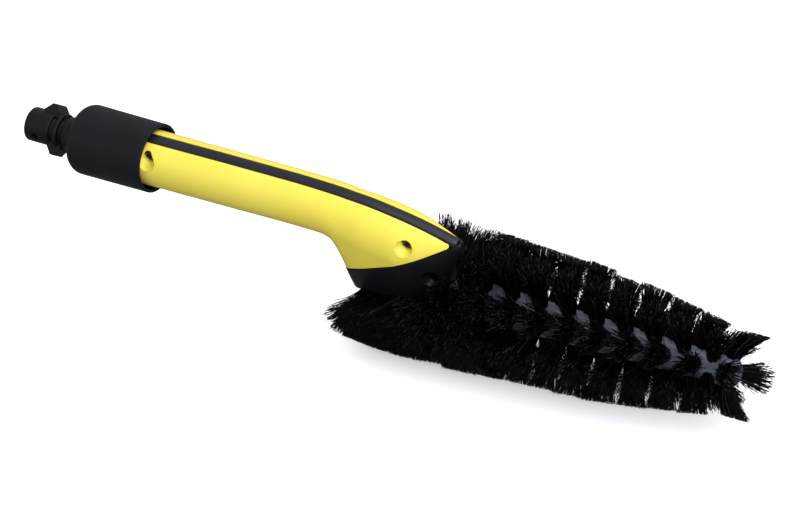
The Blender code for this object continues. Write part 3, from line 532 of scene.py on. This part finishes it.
def skin_grid(xs, limits, count, side):
    """Points and outward normals of the skin, in rows between two section angles at each x."""
    step, swing = 0.02, 0.002        # in mm and radians, for the slopes
    points, normals = [], []
    for x, (low, high) in zip(xs, limits):
        row, row_normals = [], []
        for j in range(count + 1):
            angle = low + (high - low) * j / count
            y, z = section_point(x, angle)
            ya, za = section_point(x, angle + swing)
            yb, zb = section_point(x, angle - swing)
            yc, zc = section_point(x + step, angle)
            yd, zd = section_point(x - step, angle)
            across = Vector((0.0, ya - yb, za - zb))
            along = Vector((2.0 * step, yc - yd, zc - zd))
            normal = across.cross(along).normalized()
            if normal.y + normal.z * math.copysign(0.2, math.cos(angle)) < 0.0:
                normal = -normal
            row.append(Vector((x, side * y, z)))
            row_normals.append(Vector((normal.x, side * normal.y, normal.z)))
        points.append(row)
        normals.append(row_normals)
    return points, normals


def rim(points, normals, column, inward, wall, radius):
    """Points round the edge of a wall, outside first, at each row of one column of the skin. inward is
    the column beside it."""
    result = []
    last = len(points) - 1
    for i, row in enumerate(points):
        along = points[min(i + 1, last)][column] - points[max(i - 1, 0)][column]
        normal = normals[i][column]
        out = normal.cross(along).normalized()
        if out.dot(row[column] - row[inward]) < 0.0:
            out = -out
        outer, inner = row[column] - normal * radius, row[column] - normal * (wall - radius)
        arc = [math.radians(a) for a in (18, 36, 54, 72, 90)]
        edge = [outer + normal * radius * math.cos(a) + out * radius * math.sin(a) for a in arc]
        edge += [inner + out * radius * math.cos(a) - normal * radius * math.sin(a) for a in arc]
        result.append(edge)
    return result


def walled_skin(name, points, normals, wall, radius, material):
    """A wall of even thickness under the skin, closed all round, with rounded long edges."""
    count = len(points[0]) - 1
    first = rim(points, normals, 0, 1, wall, radius)
    second = rim(points, normals, count, count - 1, wall, radius)
    sections = []
    for i, row in enumerate(points):
        inside = [point - normal * wall for point, normal in zip(row, normals[i])]
        loop = list(row) + second[i] + list(reversed(inside))[1:-1] + list(reversed(first[i]))
        sections.append([place(*point) for point in loop])
    return add_object(name, loft(name, sections), material)


def shell_stations():
    """Places of the shell's sections, closest where the handle turns down into the head."""
    return (spread(HANDLE_REAR, 180.0, 2.5) + spread(181.0, 192.0, 1.0) + spread(192.5, 206.0, 0.25)
            + spread(207.0, 250.0, 1.0) + spread(250.5, 258.0, 0.5))


def shell_limits(x):
    """Section angles of the shell's upper edge, beside the strip, and of its lower edge."""
    upper = angle_at_width(x, STRIP_WIDTH / 2.0 + GAP + SHELL_EDGE)
    lower = angle_at_height(x, split_height(x) + GAP / 2.0 + SHELL_EDGE)
    keel = math.pi - (SHELL_EDGE + GAP / 2.0) / smooth(STATIONS, x, 4)
    return upper, min(lower, keel)


def recess(x, z, seat):
    """A cutter for a screw's counterbore: straight at the bottom, with a dished mouth at the skin."""
    skin = section_point(x, angle_at_height(x, z))[0]
    flare = DISH_RADIUS - RECESS_RADIUS
    overrun = 1.6                    # the dish goes on past the skin, so that it meets it at a slant
    steps = 12
    profile = [(-seat, 0.0), (-seat, RECESS_RADIUS)]
    for k in range(steps + 1):
        t = k / steps
        profile.append((-skin + DISH_DEPTH * (1.0 - overrun * t),
                        RECESS_RADIUS + flare * t * t * (3.0 - 2.0 * t)))
    profile += [(-OUTSIDE, DISH_RADIUS + 0.6), (-OUTSIDE, 0.0)]
    points = [place(x, y, z + radius) for y, radius in profile]
    mesh = spun("recess", points, place(x, 0.0, z), (0.0, 1.0, 0.0), 72)
    return add_object("recess", mesh, YELLOW)


def boss_inside(x, z, side):
    """A screw's boss: a post from near the parting plane out to just under the skin."""
    under, reach = 0.7, 12.0
    boss = rod("boss", BOSS_RADIUS, (x, side * 1.0, z), (x, side * OUTSIDE, z))
    angles = [math.tau * i / 96 for i in range(96)]
    sections = [[place(u, *section_point(u, angle, under)) for angle in angles]
                for u in spread(x - reach, x + reach, 1.0)]
    boolean(boss, add_object("inside", loft("inside", sections), YELLOW), "INTERSECT", "MANIFOLD")
    return boss


def handle_shell(name, side):
    """One half of the yellow skin, ending in a rounded tip between the strip and the base."""
    xs = shell_stations()
    tip = xs[-1]
    while shell_limits(tip)[1] - shell_limits(tip)[0] > SHELL_TIP_ANGLE:
        tip += 0.1
    if tip > xs[-1] + 0.2:
        xs += spread(xs[-1] + 0.2, tip, 0.4)
    limits = [shell_limits(x) for x in xs]
    middle, reach = sum(limits[-1]) / 2.0, (limits[-1][1] - limits[-1][0]) / 2.0
    steps = 8
    for k in range(1, steps + 1):
        turn = math.radians(90.0) * k / steps * 0.98           # the last section keeps a little width
        xs.append(tip + SHELL_TIP_LENGTH * math.sin(turn))
        centre = middle + (sum(shell_limits(xs[-1])) / 2.0 - middle) * 0.5
        limits.append((centre - reach * math.cos(turn), centre + reach * math.cos(turn)))
    points, normals = skin_grid(xs, limits, SHELL_COLUMNS, side)
    shell = walled_skin(name + "_moulded", points, normals, SHELL_WALL, SHELL_EDGE, YELLOW)
    for screw in ("handle_screw_rear", "handle_screw_front"):
        x, z, seat = SCREW_PLACES[screw]
        boolean(shell, boss_inside(x, z, side), "UNION", "MANIFOLD")
        if side < 0:                 # the screws go in from the left
            hole = rod("hole", SCREW_HOLE_RADIUS, (x, 3.0, z), (x, -seat - 1.0, z), 32)
            boolean(shell, recess(x, z, seat), "DIFFERENCE", "MANIFOLD")
            boolean(shell, hole, "DIFFERENCE", "MANIFOLD")
    shade(shell, 40.0)
    finish_piece(shell, "handle", name)


def spine_strip():
    """The strip let into the spine, following the body's curve, with a rounded front end."""
    rounding = STRIP_END - STRIP_ROUNDING
    xs = spread(HANDLE_REAR, 180.0, 3.0) + spread(182.0, 250.0, 1.5) + spread(250.5, 261.0, 0.75)
    xs += [rounding + STRIP_ROUNDING * math.sin(math.radians(90.0 * k / 8.0)) for k in range(9)]
    sections = []
    for x in xs:
        narrow = math.sqrt(max(0.0, 1.0 - max(0.0, (x - rounding) / STRIP_ROUNDING) ** 2))
        room = min(STRIP_WIDTH / 2.0, 0.86 * smooth(STATIONS, x, 4))       # within the narrowing head
        width = max(room * (0.35 + 0.65 * narrow), 0.25)
        edge = min(STRIP_EDGE, 0.45 * width)
        top = []
        for k in range(-8, 9):
            y = width * k / 8.0
            height = section_point(x, angle_at_width(x, abs(y)))[1] + STRIP_PROUD
            inset = abs(y) - (width - edge)
            if inset > 0.0:
                height -= edge - math.sqrt(max(edge * edge - inset * inset, 0.0))
            top.append((y, height))
        low = smooth(STATIONS, x, 1) - STRIP_DEPTH
        loop = top + [(width, low), (-width, low)]
        sections.append([place(x, y, z) for y, z in loop])
    strip = add_object("spine_strip_moulded", loft("spine_strip", sections), STRIP_BLACK_PAINTED_SHEEN)
    shade(strip, 50.0)
    finish_piece(strip, "handle", "spine_strip")


def plane_block(start, end, above, shift):
    """A cutting block above or below the plane through two (x, z) points, moved along its normal by shift."""
    slope = Vector((end[0] - start[0], 0.0, end[1] - start[1])).normalized()
    normal = Vector((-slope.z, 0.0, slope.x))
    middle = Vector(((start[0] + end[0]) / 2.0, 0.0, (start[1] + end[1]) / 2.0))
    half = CUTTER_SIZE.z / 2.0
    centre = middle + normal * (shift + (half if above else -half))
    bm = bmesh.new()
    bmesh.ops.create_cube(bm, size=1.0)
    bmesh.ops.scale(bm, vec=CUTTER_SIZE * MM, verts=bm.verts)
    turn = Matrix.Rotation(-math.atan2(slope.z, slope.x), 4, "Y")
    bm.transform(Matrix.Translation(place(*centre)) @ turn)
    return add_object("block", bmesh_to_mesh("block", bm), BASE_BLACK)


def head_base(name, side):
    """One half of the boat-shaped base: cut by the shells' plane and its flat underside, with a cradle
    for the core and the bands of the first rings of tufts."""
    xs = (spread(190.0, 194.0, 0.5) + spread(194.25, 206.0, 0.25) + spread(207.0, 256.0, 1.0)
          + spread(256.5, 267.5, 0.5) + [267.8, 268.0])
    angles = [math.pi * i / 72 for i in range(73)]
    sections = []
    for x in xs:
        loop = []
        for angle in angles:
            y, z = section_point(x, angle, -BASE_LIP)
            loop.append(place(x, side * max(y, GAP / 2.0), z))
        sections.append(loop)
    base = add_object(name + "_moulded", loft(name, sections), BASE_BLACK)
    band_corner = (CORE_RADIUS_REAR + GAP + BAND_THICKNESS) / math.cos(math.pi / 8.0)
    cradle = band_corner + 2.0 * GAP
    x, z, seat = SCREW_PLACES["base_screw"]
    cutters = [plane_block(SPLIT_START, SPLIT_END, True, -GAP),
               plane_block(BASE_BOTTOM_START, BASE_BOTTOM_END, False, 0.0),
               rod("cradle", cradle, (CORE_START - 2.0 * GAP, 0.0, BRUSH_Z), (290.0, 0.0, BRUSH_Z))]
    if side < 0:
        cutters.append(recess(x, z, seat))
    for cutter in cutters:
        boolean(base, cutter, "DIFFERENCE", "MANIFOLD")
    shade(base, 30.0)
    finish_piece(base, "handle", name)


# Coupling ------------------------------------------------------------------------------------
def collar():
    """The cup-shaped collar: a rounded shoulder at the rear, open at the handle's end."""
    radius, mouth = COLLAR_RADIUS, COLLAR_RADIUS - 0.3
    wall, shoulder, floor = 1.7, 6.5, 3.5
    corner = COLLAR_REAR + shoulder
    arc = [math.radians(a) for a in range(0, 91, 6)]
    outer = [(COLLAR_REAR, COLLAR_BORE)]
    outer += [(corner - shoulder * math.cos(a), radius - shoulder * (1.0 - math.sin(a))) for a in arc]
    lip = rounded([(COLLAR_MOUTH - 3.0, mouth), (COLLAR_MOUTH, mouth), (COLLAR_MOUTH, mouth - wall),
                   (COLLAR_MOUTH - 3.0, mouth - wall)], 0.75, count=6)
    floor_x = COLLAR_REAR + floor
    inner = [(floor_x + 4.0, radius - wall), (floor_x + 1.2, radius - wall - 1.2),
             (floor_x, radius - wall - 4.0), (floor_x, COLLAR_BORE)]
    mesh = turned("collar", outer + lip + inner, steps=160, ring=True)
    piece = add_object("coupling_collar_moulded", mesh, COLLAR_BLACK)
    shade(piece, 40.0)
    finish_piece(piece, "coupling", "coupling_collar")


def lug(start, top_start, top_end, end, turn):
    """Sections of a ramped locking lug on the inlet, turned about its axis, with softened edges."""
    root, soft, half = 6.8, 0.5, LUG_WIDTH / 2.0
    # (x, distance from the axis) round the lug's side
    side = [(start, root), (start, 9.1), (top_start, LUG_CROWN), (top_end, LUG_CROWN), (end, 9.7),
            (end, root)]
    side = rounded(side, 0.8, closed=True, count=3)
    middle = sum(x for x, _ in side) / len(side)
    sections = []
    for y, shrink in ((-half, soft), (-half + soft, 0.0), (half - soft, 0.0), (half, soft)):
        sections.append([Vector((x + math.copysign(shrink, middle - x), y, z - shrink)) for x, z in side])
    rotation = Matrix.Rotation(math.radians(turn), 3, "X")
    return [[place(*(rotation @ point)) for point in section] for section in sections]


def inlet():
    """The bayonet inlet: bored nose with a side opening, locking lugs, rib and hub, and the barrel
    inside the handle."""
    back = COLLAR_REAR - GAP
    # (x, radius) down the outside from the nose face, and back up the bore
    outer = rounded([(0.0, 5.2), (0.0, NOSE_RADIUS), (15.2, NOSE_RADIUS), (15.2, NECK_RADIUS),
                     (18.7, NECK_RADIUS), (18.7, 10.0), (21.0, 10.0), (21.0, NECK_RADIUS),
                     (24.0, NECK_RADIUS), (24.0, NOSE_RADIUS), (back, NOSE_RADIUS), (back, 6.0)], 0.7)
    barrel = [(back + 4.5, 6.0), (back + 4.5, 7.7), (62.0, 7.7), (62.0, 5.7), (42.0, 5.7)]
    bore = [(41.0, 2.8), (15.0, 2.8), (13.0, 4.6), (1.0, 4.6)]
    mesh = turned("inlet", outer + barrel + bore, steps=128, ring=True)
    piece = add_object("bayonet_inlet_moulded", mesh, INLET_BLACK)
    upper = lug(6.5, 11.5, 15.0, 18.6, LUG_TURN - 180.0)
    lower = lug(14.0, 17.5, 20.5, 23.0, LUG_TURN)
    for sections in (upper, lower):
        boolean(piece, add_object("lug", loft("lug", sections), INLET_BLACK), "UNION")
    boolean(piece, rod("window", 2.1, (6.8, -4.0, 0.6), (6.8, -14.0, 0.2), 40), "DIFFERENCE")
    shade(piece, 35.0)
    finish_piece(piece, "coupling", "bayonet_inlet")


# Brush ---------------------------------------------------------------------------------------
def core_radius(x):
    """Radius of the core's outside, which tapers to the front."""
    t = (x - CORE_START) / (CORE_END - CORE_START)
    return CORE_RADIUS_REAR + (CORE_RADIUS_FRONT - CORE_RADIUS_REAR) * min(max(t, 0.0), 1.0)


def brush_core():
    """The hollow tapering core, with the boss that takes water in from the head, and its end plug."""
    bore_front = CORE_RADIUS_FRONT - CORE_WALL
    outline = [(CORE_START, 0.0), (CORE_START, CORE_RADIUS_REAR), (CORE_END, CORE_RADIUS_FRONT),
               (CORE_END, bore_front), (CORE_END - 8.0, bore_front),
               (CORE_START + CORE_WALL, CORE_RADIUS_REAR - CORE_WALL), (CORE_START + CORE_WALL, 0.0)]
    mesh = turned("core", rounded(outline, 0.8), BRUSH_Z, 96)
    piece = add_object("brush_core_moulded", mesh, CORE_GREY_PAINTED_SHEEN)
    boss = rod("boss", FEED_BOSS_RADIUS, (FEED_X, 0.0, BRUSH_Z + 6.0), (FEED_X, 0.0, CORE_TOP))
    boolean(piece, boss, "UNION")
    bore = rod("bore", FEED_BORE, (FEED_X, 0.0, BRUSH_Z), (FEED_X, 0.0, CORE_TOP + 1.0))
    boolean(piece, bore, "DIFFERENCE")
    shade(piece, 35.0)
    finish_piece(piece, "handle", "brush_core")
    plug_radius = CORE_RADIUS_FRONT - (CORE_WALL + GAP)
    plug = [(CORE_END - 7.0, 0.0), (CORE_END - 7.0, plug_radius), (CORE_END + GAP, plug_radius),
            (CORE_END + GAP, CORE_RADIUS_FRONT), (CORE_END + 1.5, CORE_RADIUS_FRONT),
            (CORE_END + 3.2, CORE_RADIUS_FRONT - 2.0), (CORE_END + 3.8, 0.0)]
    cap = add_object("core_end_plug_moulded", turned("plug", rounded(plug, 0.6), BRUSH_Z, 96), CORE_GREY_PAINTED_SHEEN)
    shade(cap, 35.0)
    finish_piece(cap, "handle", "core_end_plug")


def filament_mesh(name, paths, radii, tones_and_glints):
    """Closed three-sided filaments along paths (filament, point, xyz), in metres. radii has a value for each
    point, and the last argument one for each filament: a random value that sets its roughness and, at the top
    of its range, a grey that is a painted glint."""
    count, steps, _ = paths.shape
    sides = 3
    along = np.gradient(paths, axis=1)
    along /= np.linalg.norm(along, axis=2, keepdims=True)
    # a direction well away from each filament's own, to build its cross-section on
    helper = np.where(np.abs(along[:, :1, :1]) > 0.8, [[[0.0, 1.0, 0.0]]], [[[1.0, 0.0, 0.0]]])
    first = np.cross(along, np.broadcast_to(helper, along.shape))
    first /= np.linalg.norm(first, axis=2, keepdims=True)
    second = np.cross(along, first)
    turns = np.arange(sides) * math.tau / sides
    ring = (first[:, :, None, :] * np.cos(turns)[None, None, :, None]
            + second[:, :, None, :] * np.sin(turns)[None, None, :, None])
    verts = (paths[:, :, None, :] + ring * radii[:, :, None, None]).reshape(-1, 3)
    base = (np.arange(count) * steps * sides)[:, None, None]
    row = (np.arange(steps - 1) * sides)[None, :, None]
    side = np.arange(sides)[None, None, :]
    following = (side + 1) % sides
    quads = np.stack([base + row + side, base + row + following, base + row + sides + following,
                      base + row + sides + side], axis=3).reshape(-1, 4)
    ends = base[:, 0, :] + np.array([[2, 1, 0]])
    tips = base[:, 0, :] + (steps - 1) * sides + np.array([[0, 1, 2]])
    tris = np.concatenate([ends, tips])
    mesh = bpy.data.meshes.new(name)
    mesh.vertices.add(len(verts))
    mesh.vertices.foreach_set("co", verts.astype(np.float32).ravel())
    loops = np.concatenate([quads.ravel(), tris.ravel()])
    mesh.loops.add(len(loops))
    mesh.loops.foreach_set("vertex_index", loops.astype(np.int32))
    starts = np.concatenate([np.arange(len(quads)) * 4, len(quads) * 4 + np.arange(len(tris)) * 3])
    mesh.polygons.add(len(starts))
    mesh.polygons.foreach_set("loop_start", starts.astype(np.int32))
    mesh.update(calc_edges=True)
    mesh.shade_smooth()
    # each filament's random value, kept as 'shade': the material turns the highest into painted glints
    attribute = mesh.attributes.new("shade", "FLOAT", "POINT")
    attribute.data.foreach_set("value", np.repeat(tones_and_glints, steps * sides).astype(np.float32))
    mesh.validate()
    return mesh


def tuft_paths(x, turn, random):
    """The middle lines of one tuft's filaments, in the handle's frame. turn is the angle from straight
    down round the brush axis, towards +y. Beside the head they leave the core under the base's edge,
    and bend up past it."""
    reach, lean = smooth(TUFT_REACH, x), smooth(TUFT_LEAN, x)
    outward = np.array([0.0, math.sin(turn), -math.cos(turn)])
    lowest = math.pi - math.radians(smooth(ROOT_SHADOW, x))
    root_turn = min(max(turn, -lowest), lowest)
    rooted = np.array([0.0, math.sin(root_turn), -math.cos(root_turn)])
    sideways = np.array([0.0, math.cos(turn), math.sin(turn)])
    forward = np.array([1.0, 0.0, 0.0])
    axis = np.array([x, 0.0, BRUSH_Z])
    radius = np.sqrt(random.random(FILAMENTS))
    around = random.random(FILAMENTS) * math.tau
    local = np.stack([radius * np.cos(around), radius * np.sin(around)], axis=1)
    wild = 1.0 + WILD_EXTRA * (random.random(FILAMENTS) < WILD_SHARE)
    lean += random.normal(0.0, LEAN_VARIES)
    tip_radius = reach * wild * random.normal(1.0, SPREAD_VARIES, FILAMENTS)
    root = (axis + rooted * (core_radius(x) - ROOT_DEPTH)
            + forward * (local[:, :1] * ROOT_RADIUS) + sideways * (local[:, 1:] * ROOT_RADIUS))
    shift = local * tip_radius[:, None] * [smooth(FANNING, x), smooth(FLARE, x)]
    shift += random.normal(0.0, TIP_VARIES, (FILAMENTS, 2))
    tip = (axis + outward * reach + forward * (lean + shift[:, :1]) + sideways * shift[:, 1:])
    # The brush is trimmed to one tapering outline, and a few filaments fall short of it.
    radial = tip - np.array([0.0, 0.0, BRUSH_Z])
    distance = np.hypot(radial[:, 1], radial[:, 2])
    trim = np.array([smooth(TUFT_REACH, value) for value in tip[:, 0]]) * random.normal(1.0, TUFT_TRIM_VARIES)
    scale = trim / distance * random.normal(1.0, TRIM_VARIES, FILAMENTS)
    short = random.random(FILAMENTS)
    scale *= np.where(short < SHORT_SHARE, 1.0 - SHORT_BY * random.random(FILAMENTS), 1.0)
    tip[:, 0] = np.minimum(tip[:, 0], FRONT_TRIM + random.normal(0.0, FRONT_VARIES, FILAMENTS))
    tip[:, 1] *= scale
    tip[:, 2] = BRUSH_Z + (tip[:, 2] - BRUSH_Z) * scale
    s = np.linspace(0.0, 1.0, FILAMENT_POINTS)[None, :, None]
    # Filaments bow a little, from square to the core towards their tips,
    length = np.linalg.norm(tip - root, axis=1, keepdims=True)
    straight = (root + tip) / 2.0
    square = root + rooted * length * 0.5
    bow = straight + (square - straight) * random.uniform(*BOW, (FILAMENTS, 1))
    paths = root[:, None] * (1 - s) ** 2 + bow[:, None] * 2 * s * (1 - s) + tip[:, None] * s ** 2
    # and ripple along their length, less near the root.
    phase = random.random(FILAMENTS)[:, None] * math.tau
    waves = random.uniform(*WAVES, FILAMENTS)[:, None]
    along = s[0, :, 0]
    swing = RIPPLE * np.sin(phase + waves * math.tau * along[None, :]) * np.minimum(1.0, along * 4.0)
    facing = random.random(FILAMENTS)[:, None] * math.tau
    aside = forward * np.cos(facing)[:, :, None] + sideways * np.sin(facing)[:, :, None]
    paths += swing[:, :, None] * aside
    return paths


def bristles():
    """The rings of tufts along the core, one piece for each CAD ring."""
    random = np.random.default_rng(7)
    offset = np.array([NOSE_X, 0.0, HANDLE_Z])
    for index in range(RING_COUNT):
        x = CORE_START + FIRST_RING + index * RING_PITCH
        dense = x < DENSE_UNTIL
        count = DENSE_TUFTS if dense else TUFTS
        half_step = 0.0 if dense else math.pi / TUFTS * (index % 2)
        tufts = []
        for k in range(count):
            turn = math.remainder(math.tau * k / count + half_step, math.tau)
            from_top = 180.0 - abs(math.degrees(turn))
            near = turn < 0.0
            if from_top >= smooth(NEAR_SHADOW if near else HEAD_SHADOW, x):
                tuft = tuft_paths(x, turn, random)
                sparse = dense and not near and from_top < SPARSE_BELOW
                tufts.append(tuft[:int(FILAMENTS * SPARSE_SHARE)] if sparse else tuft)
        paths = np.concatenate(tufts)
        taper = np.linspace(1.0, FILAMENT_TAPER, FILAMENT_POINTS)
        radii = np.full(paths.shape[:2], FILAMENT_RADIUS) * taper[None, :]
        # a random value for each filament: its roughness, and for the highest a painted glint
        tones_and_glints = random.random(len(paths))
        name = f"bristles_{index + 1:02d}"
        mesh = filament_mesh(name, (paths + offset) * MM, radii * MM, tones_and_glints)
        piece = add_object(name, mesh, BRISTLE)
        finish_piece(piece, "handle", f"tuft_ring_{index + 1:02d}")


# Pieces that the CAD model shapes well enough itself -----------------------------------------
def finish_cad_nodes():
    """Materials and smooth shading for the CAD nodes that stay: seals, rings, screws and tube."""
    inner = {"collar_retaining_ring": STEEL, "swivel_snap_ring": STEEL, "swivel_spigot": INLET_BLACK,
             "swivel_o_ring_rear": RUBBER, "swivel_o_ring_front": RUBBER, "tube_o_ring_rear": RUBBER,
             "tube_o_ring_front": RUBBER, "thrust_washer": WHITE, "swivel_retaining_ring": WHITE,
             "water_tube": CORE_GREY_PAINTED_SHEEN, "handle_screw_rear": STEEL, "handle_screw_front": STEEL,
             "base_screw": STEEL}
    for name, material in inner.items():
        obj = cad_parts[name]
        for slot in obj.material_slots:
            slot.material = material
        for polygon in obj.data.polygons:
            polygon.use_smooth = True
        obj.data.set_sharp_from_angle(angle=math.radians(35.0))


# Studio --------------------------------------------------------------------------------------
def camera():
    """A long lens on the near side, above and towards the brush's tip, rolled so that the brush points
    down to the right."""
    azimuth, elevation, roll = (math.radians(angle) for angle in (37.83, 42.26, 11.63))
    aim, distance = Vector((0.00478, 0.00333, 0.04766)), 2.359
    back = Vector((math.sin(azimuth) * math.cos(elevation), -math.cos(azimuth) * math.cos(elevation),
                   math.sin(elevation)))
    level = Vector((0.0, 0.0, 1.0)).cross(back).normalized()
    upright = back.cross(level)
    up = upright * math.cos(roll) + level * math.sin(roll)
    right = up.cross(back)
    data = bpy.data.cameras.new("photo_camera")
    data.lens, data.sensor_width = 205.87, 36.0
    data.clip_end = 50.0
    obj = bpy.data.objects.new("photo_camera", data)
    turn = Matrix((right, up, back)).transposed().to_4x4()
    obj.matrix_world = Matrix.Translation(aim + back * distance) @ turn
    bpy.context.scene.collection.objects.link(obj)
    bpy.context.scene.camera = obj


def area_light(name, position, target, size, power, colour=(1.0, 1.0, 1.0)):
    """A rectangular lamp, facing its target. Size is in metres and power in watts."""
    data = bpy.data.lights.new(name, "AREA")
    data.shape = "RECTANGLE"
    data.size, data.size_y = size
    data.energy = power
    data.color = colour
    obj = bpy.data.objects.new(name, data)
    obj.location = position
    obj.rotation_euler = (Vector(target) - Vector(position)).to_track_quat("-Z", "Y").to_euler()
    bpy.context.scene.collection.objects.link(obj)


def floor():
    """A pale floor just under the brush, which casts no light or reflection back on it."""
    mesh = bpy.data.meshes.new("floor")
    bm = bmesh.new()
    bmesh.ops.create_grid(bm, x_segments=8, y_segments=8, size=6.0)
    bm.to_mesh(mesh)
    bm.free()
    ground = add_object("studio_floor", mesh, floor_finish())
    ground.location.z = -0.5 * MM
    ground.visible_diffuse = False
    ground.visible_glossy = False


def sky():
    """An even, slightly cool surround that is darker from below the horizon."""
    world = bpy.data.worlds.new("studio")
    world.use_nodes = True
    tree = world.node_tree
    background = tree.nodes["Background"]
    background.inputs["Color"].default_value = (0.95, 0.97, 1.0, 1.0)
    direction = tree.nodes.new("ShaderNodeTexCoord")
    height = tree.nodes.new("ShaderNodeSeparateXYZ")
    fade = tree.nodes.new("ShaderNodeMapRange")
    for socket, value in (("From Min", -0.5), ("From Max", 0.3), ("To Min", 0.26), ("To Max", 0.62)):
        fade.inputs[socket].default_value = value
    tree.links.new(direction.outputs["Generated"], height.inputs["Vector"])
    tree.links.new(height.outputs["Z"], fade.inputs["Value"])
    tree.links.new(fade.outputs["Result"], background.inputs["Strength"])
    bpy.context.scene.world = world


def lights():
    """A large lamp overhead on the far side, and three small ones that fill the near side."""
    area_light("overhead", (0.60, 0.50, 1.60), (0.05, 0.0, 0.03), (2.2, 1.8), 24.5)
    area_light("side_fill", (-1.1, -1.2, 1.1), (0.0, 0.0, 0.05), (1.0, 1.0), 1.5)
    area_light("front_fill", (1.0, -0.55, 0.5), (0.06, 0.0, 0.05), (0.7, 0.7), 8.0, (0.90, 0.94, 1.0))
    area_light("head_light", (0.6, -0.45, 1.2), (0.09, 0.0, 0.06), (0.7, 0.7), 6.5, (0.95, 0.97, 1.0))


def studio():
    """Floor, surround and lamps, shown without any tone curve."""
    floor()
    sky()
    lights()
    bpy.context.scene.view_settings.view_transform = "Standard"
    bpy.context.scene.view_settings.look = "None"


camera()
studio()
collar()
inlet()
handle_shell("handle_shell_left", -1.0)
handle_shell("handle_shell_right", 1.0)
spine_strip()
head_base("head_base_left", -1.0)
head_base("head_base_right", 1.0)
brush_core()
bristles()
finish_cad_nodes()
